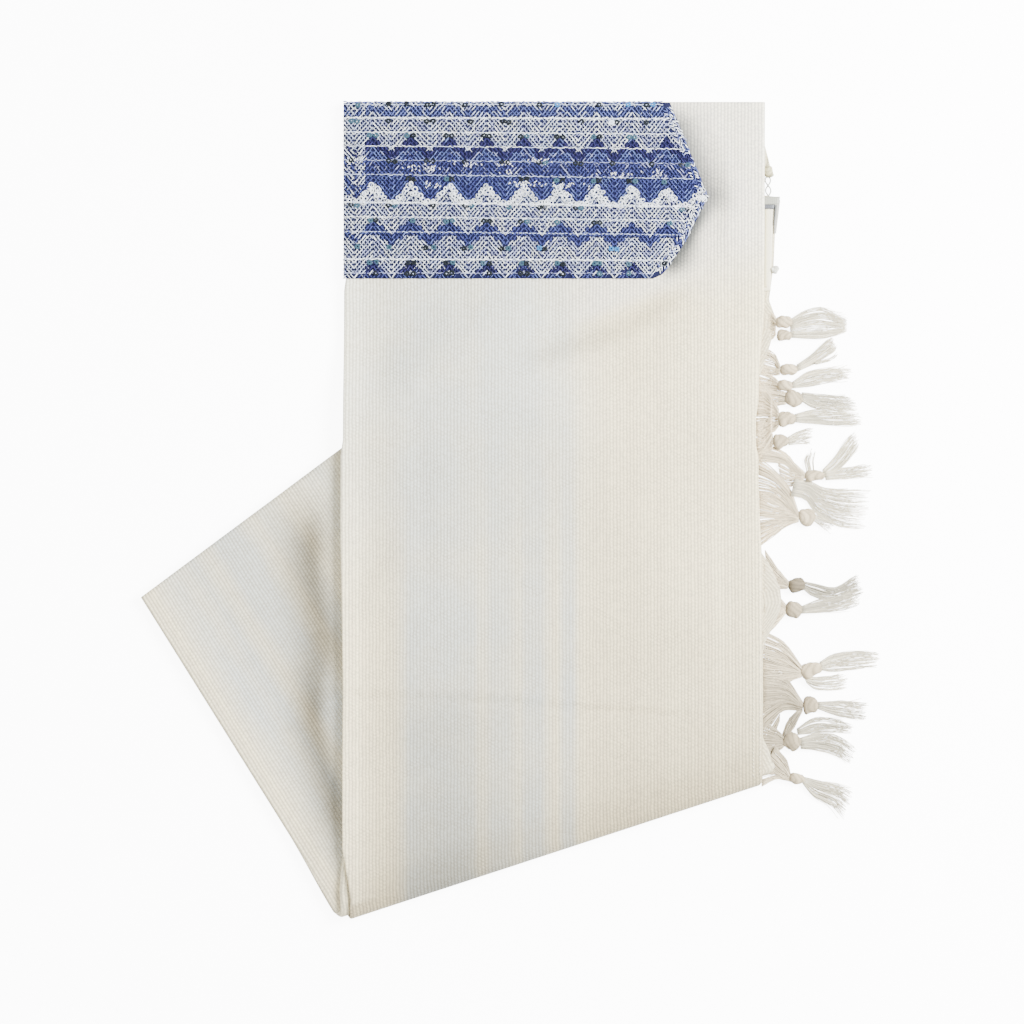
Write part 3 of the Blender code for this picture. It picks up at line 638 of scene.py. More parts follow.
def sheet(name, profile, w, left, right, finish, painted_shading=unshaded):
    """A sheet of cloth from a profile and places along the strip.

    x = left * (1 - side) + right * side + offset, where an edge is a table and its
    x in the tail. u is x from the left edge, with the extra length of the profile
    up to that column, and v the length along the strip up to a row.
    """
    side, offset, depth = profile.T
    w = w[:, None]
    x = edge_at(left[0], w, LEFT_X, left[1]) * (1 - side) + edge_at(right[0], w, RIGHT_X, right[1]) * side
    x = x + offset
    points = strip(x, w, depth)
    nominal = LEFT_X + STRIP_WIDE * side + offset
    length = np.concatenate(([0.0], np.cumsum(np.hypot(np.diff(nominal), np.diff(depth)))))
    first = np.argmax((side > 0) & (side < 1))
    heading = np.sign(nominal[first + 1] - nominal[first])
    u = x - LEFT_X + (length - length[first]) * heading - (nominal - nominal[first])
    step = np.sqrt(((points[1:] - points[:-1]) ** 2).sum(-1))
    v = np.concatenate((np.zeros((1, len(side))), np.cumsum(step, 0)))
    faces = grid_faces(len(w), len(side))[:, ::-1]
    # the colour attribute: painted shade and light, one less the shading
    painted_tone = np.clip(1.0 - painted_shading(points[..., 0], points[..., 1], u, w), 0.05, 1.5)
    made = put_mesh(name, points, faces, finish, uv=np.stack((u, v), -1) * MM, colours=painted_tone)
    give_wall(made, CLOTH)
    print(name, points.shape[:2], "points")
    return made


# %% The front: fold at the neckband, outer layer, fold at the right-hand edge
def front_cloth():
    """The outermost layer, all along the front, round the turn and under the tail."""
    profile = np.concatenate((
        [(0, TUCK, 2 * PAIR_R - CLOTH / 2)], arc(0, PAIR_R, PAIR_R, 8, from_top=False),
        across((0, PAIR_R, CLOTH / 2), (1, -RIGHT_R, CLOTH / 2), 106),
        arc(1, RIGHT_R, RIGHT_R, 10), [(1, -RIGHT_R - TUCK, 2 * RIGHT_R - CLOTH / 2)]))
    w = runs(((0, 0.9, 165), (0.9, 1, 20), (1, 2, 16), (2, 3, 40)))
    return sheet("front_cloth", profile, w, (LEFT_FOLD, -108.5), (RIGHT_FOLD, 163.5), FRONT_CLOTH,
                 front_painted_shade)


# %% The lowest layer: under the front, and on top of the tail
def flap_cloth():
    """From the left-hand fold of four layers to the lower fringed end."""
    low = FOUR_DEPTH + FOUR_R - CLOTH / 2
    profile = np.concatenate((
        [(0, TUCK, FOUR_DEPTH - FOUR_R + CLOTH / 2)], arc(0, FOUR_DEPTH, FOUR_R, 10),
        across((0, FOUR_R, low), (1, 0, low), 90), [(1, 0, low)]))
    w = runs(((0, 0.93, 100), (0.93, 1, 12), (1, 2, 10), (2, 3, 100)))
    return sheet("flap_cloth", profile, w, (LEFT_UNDER, -109.0), (LOWER_END, 162.0), FLAP_CLOTH,
                 flap_painted_shade)


# %% The layers between, which show only at their edges
def inner_fold():
    """Two layers that turn back inside the right-hand edge."""
    profile = np.concatenate((
        [(0, TUCK + 0.2, 2 * PAIR_R - CLOTH / 2)],
        across((0, TUCK, 2 * PAIR_R - CLOTH / 2), (1, -RIGHT_R - 1.2, PAIR_R + CLOTH / 2), 40),
        arc(1, RIGHT_R, PAIR_R, 6) - (0, 1.2, 0),
        across((1, -RIGHT_R - 1.2, 3 * PAIR_R - CLOTH / 2), (0, TUCK, FOUR_DEPTH - FOUR_R + CLOTH / 2), 40),
        [(0, TUCK + 0.2, FOUR_DEPTH - FOUR_R + CLOTH / 2)]))
    w = runs(((0, 0.93, 90), (0.93, 1, 8), (1, 2, 12), (2, 3, 60)))
    return sheet("inner_fold", profile, w, (LEFT_FOLD, -108.5), (RIGHT_FOLD, 163.5), FRONT_CLOTH)


def upper_end():
    """From behind the right-hand edge to a fold at the left, and out to the fringe."""
    left_low = FOUR_DEPTH + PAIR_R - CLOTH / 2
    right_low = 2 * RIGHT_R + 0.3 + CLOTH / 2
    profile = np.concatenate((
        [(1, -RIGHT_R - TUCK - 0.2 - 8, 2 * RIGHT_R - CLOTH / 2)],
        across((1, -20, 2 * RIGHT_R - CLOTH / 2), (0, FOUR_R + 1, FOUR_DEPTH - PAIR_R + CLOTH / 2), 40),
        arc(0, FOUR_DEPTH, PAIR_R, 6) + (0, 1.2, 0),
        across((0, FOUR_R + 1, left_low), (1, -20, right_low), 40),
        across((1, -20, right_low), (1, 0, right_low), 8), [(1, 0, right_low)]))
    w = runs(((0, 0.93, 190), (0.93, 1, 12), (1, 2, 12), (2, 3, 60)))
    return sheet("upper_end", profile, w, (LEFT_UNDER, -109.0), (UPPER_END, 162.0), FLAP_CLOTH)


FRONT = front_cloth()
FLAP = flap_cloth()
INNER = inner_fold()
UPPER = upper_end()

# %% [markdown]
# ## The knitted band
# The neckband is a ripple knit: every motif is a peak and a valley, and the
# stitches slope away from the peak on both sides and meet in the valley. White,
# lavender and blue yarns change at zigzag borders, straight courses of white run
# across, a roof of curly yarn sits on the middle row of peaks, and small sequins
# are knitted in. An image could fake this, but real yarn lets the dark gaps,
# shadows and sparkle come by themselves. So a dark knitted ground carries some
# thousands of short stitches, each a closed tube of 14 faces.

# %% Many short stitches as one mesh
LIE = np.array((-1.0, -0.45, 0.45, 1.0))          # where a stitch's rings lie
SWELL = np.array((0.45, 1.0, 1.0, 0.45))          # and how wide each one is
CORNERS = np.pi / 4 + np.pi / 2 * np.arange(4)


def stitches(name, centre, heading, length, radius, colour, finish, arch=0.25):
    """Short yarn tubes: a ring of 4 points at 4 places along each stitch.

    point = centre + along * t * length / 2 + (across * cos a + up * sin a) * radius
    * swell(t) + up * arch * (1 - t^2), with t from -1 to 1.
    """
    count = len(centre)
    length, radius = (np.broadcast_to(v, count)[:, None, None, None] for v in (length, radius))
    along = np.stack((np.cos(heading), np.sin(heading), np.zeros(count)), -1)[:, None, None, :]
    across = np.stack((-np.sin(heading), np.cos(heading), np.zeros(count)), -1)[:, None, None, :]
    up = np.array((0.0, 0.0, 1.0))
    t = LIE[None, :, None, None]
    swell = SWELL[None, :, None, None]
    a = CORNERS[None, None, :, None]
    points = (centre[:, None, None, :] + along * t * length / 2 + up * arch * (1 - t**2)
              + (across * np.cos(a) + up * np.sin(a)) * radius * swell)
    rings, corners = len(LIE), len(CORNERS)
    caps = [[3, 2, 1, 0], [12, 13, 14, 15]]
    faces = repeated(np.concatenate((grid_faces(rings, corners, wrap=True), caps)), rings * corners, count)
    made = put_mesh(name, points, faces, finish, colours=np.repeat(colour, rings * corners, axis=0))
    print(name, count, "stitches", 2 * len(faces), "triangles")
    return made


# %% The motif and its yarns
BAND_TOP = 266.2
BAND_HIGH = 115.0
BAND_FLOOR = 8.05                                 # the knitted ground, mid-wall
PEAKS = np.array((-114.7, -90.4, -66.0, -40.6, -16.2, 7.9, 31.5, 55.4, 78.3, 101.1, 123.8, 147.0))
MOTIF = 24.4                                      # mean distance between peaks
GAUGE = MOTIF / 9                                 # between neighbouring stitches
SLOPE = 1.19                                      # how steeply they fall
BAND_END = np.array(((266.2, 103.0), (263.2, 104.3), (205.0, 128.2), (176.0, 113.6), (158.0, 101.5),
                     (154.0, 98.0), (151.4, 92.0)))
WHITE, LAVENDER, MID_BLUE, INDIGO, SKY, PALE, CORNFLOWER = range(7)
YARNS = np.array(((0.90, 0.95, 1.0), (0.33, 0.36, 0.60), (0.045, 0.056, 0.205), (0.020, 0.019, 0.095),
                  (0.12, 0.165, 0.42), (0.55, 0.63, 0.86), (0.10, 0.13, 0.36)))
SLANTS = slice(1, 4)                              # the two long sides of the point
EDGING_WIDE = 5.6                                 # of the turned edging
SAG = 3.2


def knit_x(s):
    """x of a place s counted in motifs: whole numbers are peaks."""
    return np.interp(s, np.arange(len(PEAKS)), PEAKS)


def motif_at(x):
    """The same the other way: which motif a place x lies in."""
    return np.interp(x, PEAKS, np.arange(len(PEAKS)))


def knit_y(x, d):
    """y of a place d mm below the top edge. The courses sag a little to the right:
    half a sine from the top to the foot, times a power of the way across."""
    sag = SAG * np.sin(np.pi * np.clip(d / BAND_HIGH, 0, 1)) * np.clip((x + 109) / 235, 0, 1) ** 1.3
    return BAND_TOP - d - sag


ROOF_TOP = 53.0                                   # depth of the roofs at the peaks
ROOF = 0.78                                       # of the way to the valley they fall
ROOF_FALL = 11.5                                  # this much
LAST_ZIGZAG, LAST_FALL, HEM_TOP = 103.0, 13.5, 112.0
# where the coloured yarns lie: upper border and its fall, lower border and its
# fall, the main yarn, its share of the stitches, and the yarn of the others
ZIGZAGS = (
    (0.0, 0.0, 3.2, 0.0, CORNFLOWER, 0.4, WHITE), (3.2, 1.5, 7.0, 3.6, CORNFLOWER, 0.72, PALE),
    (21.5, 10.5, 29.0, 8.0, INDIGO, 0.95, SKY), (29.0, 8.0, 38.0, 0.0, SKY, 0.7, LAVENDER),
    (33.0, 5.0, 38.0, 0.0, MID_BLUE, 0.6, SKY), (38.0, 0.0, 47.0, 0.0, MID_BLUE, 0.8, LAVENDER),
    (76.3, 9.5, 85.0, 8.0, MID_BLUE, 0.88, SKY),
    (LAST_ZIGZAG, LAST_FALL, 111.0, 0.0, INDIGO, 0.9, SKY),
    (HEM_TOP, 0.0, 118.0, 0.0, MID_BLUE, 0.7, SKY))
ABOVE_ROOF = (47.0, 0.7)                          # from this depth, share of mid blue


def chart(s, d, dice):
    """Which yarn lies at place s, d.

    h is 0 at a peak and 1 in a valley. Each zigzag border is a straight line in
    h: (depth at the peak) + (how much lower in the valley) * h. A border with a
    roof falls faster, and is level before it reaches the valley.
    """
    h = 2 * np.abs(s - np.round(s))
    roof = np.minimum(h / ROOF, 1.0)
    yarn = np.choose((dice > 0.45).astype(int) + (dice > 0.72), (WHITE, PALE, LAVENDER))
    second_dice = dice * 7.13 % 1.0
    for top, top_fall, low, low_fall, kind, share, other in ZIGZAGS:
        inside = (d >= top + top_fall * h) & (d < low + low_fall * h)
        inside &= (d < HEM_TOP) | (d > LAST_ZIGZAG + LAST_FALL * h)
        yarn = np.where(inside, np.where(second_dice < share, kind, other), yarn)
    above_roof = (d >= ABOVE_ROOF[0]) & (d < ROOF_TOP + ROOF_FALL * roof)
    return np.where(above_roof, np.where(second_dice < ABOVE_ROOF[1], MID_BLUE, SKY), yarn)


def band_edge(x, y, sides=slice(0, None)):
    """Distance of plan points inside the pointed end: the least over its sides."""
    least = np.full(np.shape(x), np.inf)
    for (y0, x0), (y1, x1) in list(zip(BAND_END[:-1], BAND_END[1:]))[sides]:
        run = math.hypot(x1 - x0, y1 - y0)
        least = np.minimum(least, ((x - x0) * (y1 - y0) - (y - y0) * (x1 - x0)) / run)
    return least


# %% The yarn's material
def shade_colour(add, join, shader, colour, shade):
    """Base Color: a colour made lighter or darker by a mask."""
    grey = add("ShaderNodeCombineXYZ")
    for socket in grey.inputs:
        join(shade, socket)
    join(blend_colours(add, join, 1.0, colour, grey.outputs[0], "MULTIPLY"), shader.inputs["Base Color"])


def yarn_finish(name, roughness, fuzz, specular=0.2):
    """Yarn: colour from the mesh, mottled by fibre and slightly hairy."""
    made, shader, (add, maths, join) = principled(name, roughness)
    shader.inputs["Sheen Weight"].default_value = fuzz
    shader.inputs["Sheen Roughness"].default_value = 0.4
    shader.inputs["Specular IOR Level"].default_value = specular
    own = add("ShaderNodeAttribute", attribute_name="yarn")
    place = add("ShaderNodeTexCoord")
    fibre = noise(add, join, place.outputs["Object"], 1400.0, 2.0, "3D")
    shade_colour(add, join, shader, own.outputs["Color"], maths("MULTIPLY_ADD", fibre, 0.7, 0.62))
    raised(add, join, shader, fibre, 0.4, 0.12)
    return made


BAND_GROUND = yarn_finish("neckband_ground", 0.95, 0.0, 0.05)
BAND_YARN = yarn_finish("neckband_yarn", 0.7, 0.15)

# %% The knitted ground
# near black even under the white yarn, so the gaps between stitches read dark: partly the knit's own dark
# yarn, partly painted shade
GROUND_WHITE = np.array((0.015, 0.017, 0.045))
GROUND_BLUE = np.array((0.011, 0.012, 0.042))


GROUND_WALL = 0.4
GROUND_TOP, GROUND_FOOT = 266.0, 151.4
GROUND_LEFT, GROUND_FLAT = -109.3, -107.0         # its left rim, and where it lies flat
WRAP_X, WRAP_WIDE, WRAP_DROP = -109.5, 2.2, 1.9   # how it wraps the left fold
RIM_FOOT, RIM_WIDE, RIM_DROP = 151.0, 1.2, 0.15   # how it sinks at its rims
HEM_WIDE, HEM_FULL = 6.5, 0.35                    # the edging is this much fuller


def quarter_round(t):
    """A quarter circle: 0 at 0, steeper and steeper, and 1 at 1."""
    return 1 - np.sqrt(1 - t**2)


def band_height(x, y):
    """Middle of the ground: it wraps the left fold and drops at its rims by
    quarter circles, and the turned-in edging is fuller by half a sine."""
    inside = band_edge(x, y)
    left = 1 - np.clip((x - WRAP_X) / WRAP_WIDE, 0, 1)
    rim = 1 - np.clip(np.minimum.reduce([BAND_TOP - y, inside, y - RIM_FOOT]) / RIM_WIDE, 0, 1)
    hem = HEM_FULL * np.sin(np.pi * np.clip(inside / HEM_WIDE, 0, 1))
    under = rise(x, y) + relief(FRONT_CREASES, x, y)
    return BAND_FLOOR + under - WRAP_DROP * quarter_round(left) - RIM_DROP * quarter_round(rim) + hem


def knitted_ground():
    """The dark ground as a grid: five close columns round the left fold, then 96
    evenly spaced ones to the slanted end, x = flat * (1 - t) + end * t."""
    y = np.linspace(GROUND_TOP, GROUND_FOOT, 77)[:, None]
    wrap = np.linspace(GROUND_LEFT, GROUND_FLAT, 6)[:-1] + 0 * y
    t = np.linspace(0, 1, 96)
    x = np.hstack((wrap, GROUND_FLAT * (1 - t) + table_x(BAND_END, y) * t))
    y = y + 0 * x
    z = band_height(x, y)
    yarn = chart(motif_at(x), BAND_TOP - y, RNG.random(x.shape))
    blue = np.isin(yarn, (MID_BLUE, INDIGO, SKY, CORNFLOWER))[..., None]
    colours = np.where(blue, GROUND_BLUE, GROUND_WHITE)
    made = put_mesh("neckband_ground", np.stack((x, y, z), -1), grid_faces(*x.shape)[:, ::-1],
                    BAND_GROUND, colours=colours)
    return give_wall(made, GROUND_WALL)


RNG = np.random.default_rng(5)
BAND = knitted_ground()

# %% The sloping stitches
LINES = np.arange(-5, 46)                         # enough to fill the band from end to end
PER_LINE = 5                                      # stitches from a peak to a valley
CROSS_SHIFT = 1.6                                 # the crossing stitches lie between the others


def lattice(slope):
    """Chart places and headings of every stitch of one family.

    On each side of a peak, line k is d = k * GAUGE * SLOPE + slope * distance from
    the peak, and the stitches follow each line down into the valley.
    """
    side, motif, line, step = np.meshgrid((-1.0, 1.0), np.arange(len(PEAKS)), LINES,
                                          np.arange(PER_LINE), indexing="ij")
    out = (step + 0.5) / PER_LINE * MOTIF / 2
    d = line * GAUGE * SLOPE + slope * out + (0.0 if slope > 0 else CROSS_SHIFT)
    s = motif + side * out / MOTIF
    heading = np.arctan2(-slope, side)
    return s.ravel(), d.ravel(), heading.ravel()


def slope_stitches(name, slope, length, radius, low, under_shade):
    """One family of stitches, coloured by the chart and trimmed to the band."""
    s, d, heading = lattice(slope)
    x = knit_x(s) + RNG.normal(0, 0.12, len(s))
    y = knit_y(x, d) + RNG.normal(0, 0.14, len(s))
    dice = RNG.random(len(s))
    yarn = chart(s, d, dice)
    keep = (x > -109.0) & (y < BAND_TOP - 0.9) & (y > 152.4) & (band_edge(x, y, SLANTS) > EDGING_WIDE)
    whiter = (x < -96.0) & (RNG.random(len(s)) < 0.55)
    yarn = np.where(whiter, np.where(dice < 0.6, WHITE, PALE), yarn)
    blue = np.isin(yarn, (MID_BLUE, INDIGO))
    radius = radius * np.where(blue, 1.3, 1.0) * RNG.uniform(0.75, 1.2, len(s))
    length = length * np.where(blue, 0.92, 1.05)
    colour = YARNS[yarn] * RNG.uniform(0.62, 1.08, (len(s), 1)) * under_shade
    centre = np.stack((x, y, band_height(x, y) + low), -1)
    return stitches(name, centre[keep], (heading + RNG.normal(0, 0.07, len(s)))[keep], length[keep],
                    radius[keep], colour[keep], BAND_YARN)


MAIN = slope_stitches("neckband_stitches", SLOPE, 4.1, 0.385, 0.72, 1.0)
# the crossing stitches lie lower, under the main ones, and are painted 0.85 as bright as painted shade
CROSS = slope_stitches("neckband_cross_stitches", -SLOPE, 3.6, 0.28, 0.45, 0.85)

# %% Straight courses and the edging
# depth, radius and yarn of each straight course
COURSES = ((-0.1, 0.55, CORNFLOWER), (1.5, 0.40, PALE), (10.2, 0.56, WHITE), (19.4, 0.36, WHITE),
           (28.5, 0.32, WHITE), (37.6, 0.26, LAVENDER), (47.0, 0.28, PALE), (65.2, 0.60, WHITE),
           (74.6, 0.34, WHITE), (84.3, 0.30, PALE), (102.2, 0.56, WHITE), (111.2, 0.30, LAVENDER))
# of the edging: how far in each row lies, how its stitches slant, and their radius
EDGING_ROWS = ((0.8, 0.3, 0.50), (2.2, 0.8, 0.42), (3.6, -0.6, 0.42), (5.0, 0.7, 0.40))


def courses():
    """Straight rows: stitches end to end along lines of equal d."""
    parts = []
    for d, radius, yarn in COURSES:
        x = np.arange(-108.6, 130.0, 2.0)
        x = x + RNG.normal(0, 0.15, len(x))
        y = knit_y(x, np.full(len(x), d)) + 0.25 * np.sin(x * 1.9 + d) + RNG.normal(0, 0.1, len(x))
        keep = band_edge(x, y, SLANTS) > EDGING_WIDE - 0.6
        strand = np.where(RNG.random(len(x)) < 0.2, PALE, yarn)
        colour = YARNS[strand] * RNG.uniform(0.7, 1.08, (len(x), 1))
        high = band_height(x, y) + 0.85
        parts.append([v[keep] for v in (np.stack((x, y, high), -1), RNG.normal(0, 0.18, len(x)),
                                        np.full(len(x), 2.5), np.full(len(x), radius), colour)])
    joined = [np.concatenate(v) for v in zip(*parts)]
    return stitches("neckband_courses", *joined, BAND_YARN, arch=0.12)


def edging():
    """Rows of slanting stitches that follow the pointed end, at set distances in."""
    corner = BAND_END[1:6][::-1, ::-1]
    run = np.hypot(*(corner[1:] - corner[:-1]).T)
    reach = np.concatenate(([0.0], np.cumsum(run)))
    parts = []

    def along_edge(t, axis):
        return np.interp(t, reach, corner[:, axis])

    for inset, turn, radius in EDGING_ROWS:
        t = np.arange(0.5, reach[-1] - 0.5, 2.2)
        px, py = along_edge(t, 0), along_edge(t, 1)
        ahead = np.arctan2(along_edge(t + 0.5, 1) - along_edge(t - 0.5, 1),
                           along_edge(t + 0.5, 0) - along_edge(t - 0.5, 0))
        x = px - np.sin(ahead) * inset + RNG.normal(0, 0.2, len(t))
        y = py + np.cos(ahead) * inset + RNG.normal(0, 0.2, len(t))
        dice = RNG.random(len(t))
        yarn = chart(motif_at(x), BAND_TOP - y - 3.0, dice)
        yarn = np.where(RNG.random(len(t)) < 0.4, np.where(dice < 0.6, WHITE, CORNFLOWER), yarn)
        colour = YARNS[yarn] * RNG.uniform(0.8, 1.05, (len(t), 1))
        keep = (y > 151.8) & (y < 265.9)
        place = np.stack((x, y, band_height(x, y) + 0.5), -1)
        heading = ahead + turn + RNG.normal(0, 0.35, len(t))
        parts.append([v[keep] for v in (place, heading, np.full(len(t), 2.9), np.full(len(t), radius),
                                        colour)])
    joined = [np.concatenate(v) for v in zip(*parts)]
    return stitches("neckband_edging", *joined, BAND_YARN, arch=0.2)


COURSE_ROWS = courses()
EDGING = edging()

# %% The curly roofs
CURL_STEPS, CURL_SIDES = 8, 5


def curls():
    """Curly white yarn: small oval rings, tipped at random, along the roofs.

    A ring is a torus, (half width + radius * cos about) * (cos around, sin around)
    and radius * sin about, turned and tipped.
    """
    motif, side, place, row = np.meshgrid(np.arange(len(PEAKS)), (-1.0, 1.0), np.arange(7),
                                          np.arange(2), indexing="ij")
    h = (place.ravel() + RNG.uniform(0.2, 0.8, place.size)) / 7
    s = motif.ravel() + side.ravel() * h / 2
    d = ROOF_TOP + ROOF_FALL * np.minimum(h / ROOF, 1.0) + row.ravel() * 4.2 + RNG.normal(0, 0.55, h.shape)
    x = knit_x(s)
    y = knit_y(x, d)
    seen = (row.ravel() == 0) | (RNG.random(h.shape) < 0.75)
    keep = (x > -108.0) & (band_edge(x, y) > 1.0) & (d < 66.0) & seen
    x, y = x[keep], y[keep]
    count = len(x)
    around = np.linspace(0, 2 * np.pi, CURL_STEPS, endpoint=False)[None, :, None]
    about = np.linspace(0, 2 * np.pi, CURL_SIDES, endpoint=False)[None, None, :]
    big = RNG.uniform(1.1, 1.7, count)[:, None, None]
    thin = RNG.uniform(0.32, 0.42, count)[:, None, None]
    tip = RNG.uniform(-0.6, 0.6, (2, count))[:, :, None, None]
    turn = RNG.uniform(0, np.pi, count)[:, None, None]
    wide = big * RNG.uniform(0.65, 1.0, count)[:, None, None]
    u = (big + thin * np.cos(about)) * np.cos(around)
    v = (wide + thin * np.cos(about)) * np.sin(around)
    z = thin * np.sin(about) + tip[0] * u * 0.4 + tip[1] * v * 0.4 + 0.0 * around
    points = np.stack((x[:, None, None] + u * np.cos(turn) - v * np.sin(turn),
                       y[:, None, None] + u * np.sin(turn) + v * np.cos(turn),
                       band_height(x, y)[:, None, None] + 1.0 + z), -1)
    quads = grid_faces(CURL_STEPS, CURL_SIDES, wrap=True, closed=True)[:, (0, 3, 2, 1)]
    size = CURL_STEPS * CURL_SIDES
    colours = np.repeat(YARNS[WHITE] * RNG.uniform(0.55, 1.1, (count, 1)), size, axis=0)
    print("neckband_curls", count, "curls")
    return put_mesh("neckband_curls", points, repeated(quads, size, count), BAND_YARN, colours=colours)


CURLS = curls()

# %% Sequins and glitter
SEQUIN_ROWS = (("peak", 1.6), ("valley", 1.6), ("valley", 12.3), ("peak", 21.5), ("valley", 38.2),
               ("peak", 49.2), ("valley", 66.9), ("peak", 76.8), ("valley", 94.4), ("peak", 104.4),
               ("peak", 111.4))
SEQUIN_COLOURS = np.array(((0.006, 0.009, 0.012), (0.03, 0.07, 0.10), (0.03, 0.14, 0.33), (0.7, 0.8, 0.95)))
DARK, PETROL, BLUE, SILVER = range(4)
SEQUIN_STEPS = 12
# cross-section of a sequin, from the inner edge round the rim and back: radius, height
SEQUIN_RADII = np.array((0.55, 0.75, 1.5, 1.95, 1.95, 0.75, 0.55))
SEQUIN_LEVELS = np.array((0.20, 0.28, 0.10, 0.12, 0.0, -0.05, 0.08))


def sequins():
    """Small cupped rings in rows: the cross-section carried round an oval, tilted a little.

    point = (cos a, 0.85 sin a) * radius, at level + tilt * place.
    """
    s, d = [], []
    for where, deep in SEQUIN_ROWS:
        base = np.arange(0, 11) + (0.5 if where == "valley" else 0.0)
        for shift in (-0.075, 0.085):
            s.append(base + shift + RNG.normal(0, 0.012, 11))
            d.append(np.full(11, deep) + RNG.normal(0, 0.25, 11))
    s, d = np.concatenate(s), np.concatenate(d)
    x = knit_x(s)
    y = knit_y(x, d)
    drop = RNG.random(len(x)) < np.where(d < 3.0, 0.5, 0.2)
    keep = (x > -107.0) & (band_edge(x, y) > 2.5) & ~drop
    x, y, d = x[keep], y[keep], d[keep]
    count = len(x)
    pick = RNG.random(count)
    tint = np.where(pick < 0.7, DARK, PETROL)
    blue_rows = (d > 92) & (d < 97) & (x > 15) | (d < 14) & (x > 10)
    tint = np.where(blue_rows & (pick > 0.4), BLUE, tint)
    tint = np.where(pick > 0.985, SILVER, tint)
    a = np.linspace(0, 2 * np.pi, SEQUIN_STEPS, endpoint=False)
    u = np.cos(a)[None, :, None] * SEQUIN_RADII
    v = np.sin(a)[None, :, None] * SEQUIN_RADII * 0.85
    tilt = RNG.normal(0, 0.07, (2, count))[:, :, None, None]
    z = SEQUIN_LEVELS + tilt[0] * u + tilt[1] * v
    points = np.stack((x[:, None, None] + u + 0 * z, y[:, None, None] + v + 0 * z,
                       band_height(x, y)[:, None, None] + 1.2 + z), -1)
    size = SEQUIN_STEPS * len(SEQUIN_RADII)
    faces = repeated(grid_faces(SEQUIN_STEPS, len(SEQUIN_RADII), wrap=True, closed=True), size, count)
    print("sequins", count)
    return put_mesh("neckband_sequins", points, faces, yarn_finish("sequin", 0.2, 0.0, 0.22),
                    colours=np.repeat(SEQUIN_COLOURS[tint], size, axis=0))


# x and depth of the patches of metal thread
GLITTER_SPOTS = np.array((
    (-101, 37.5), (-62, 42.0), (-52, 42.5), (-28, 40.0), (-4, 39.0), (1, 44.0), (4, 52.0),
    (14, 52.0), (30, 52.5), (42, 52.5), (-51, 53.0), (70, 45.0), (17, 37.5), (95, 43.0)))
GLITTER_COUNT = 190


def glitter():
    """Short bright stitches of metal thread, in patches of the deep blue rows."""
    patch = RNG.integers(0, len(GLITTER_SPOTS), GLITTER_COUNT)
    x = GLITTER_SPOTS[patch, 0] + RNG.normal(0, 4.5, GLITTER_COUNT)
    y = knit_y(x, GLITTER_SPOTS[patch, 1] + RNG.normal(0, 1.1, GLITTER_COUNT))
    keep = (x > -108) & (band_edge(x, y) > 1.5)
    x, y = x[keep], y[keep]
    centre = np.stack((x, y, band_height(x, y) + 1.1), -1)
    heading = np.where(RNG.random(len(x)) < 0.5, 0.87, -0.87)
    return stitches("neckband_glitter", centre, heading, np.full(len(x), 1.5), np.full(len(x), 0.30),
                    np.tile((0.95, 0.97, 1.0), (len(x), 1)), BAND_YARN, arch=0.1)


SEQUINS = sequins()
GLITTER = glitter()
BAND_PIECES = (BAND, MAIN, CROSS, COURSE_ROWS, EDGING, CURLS, SEQUINS, GLITTER)
for piece in BAND_PIECES:
    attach(piece, "root")
    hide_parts("neckband")
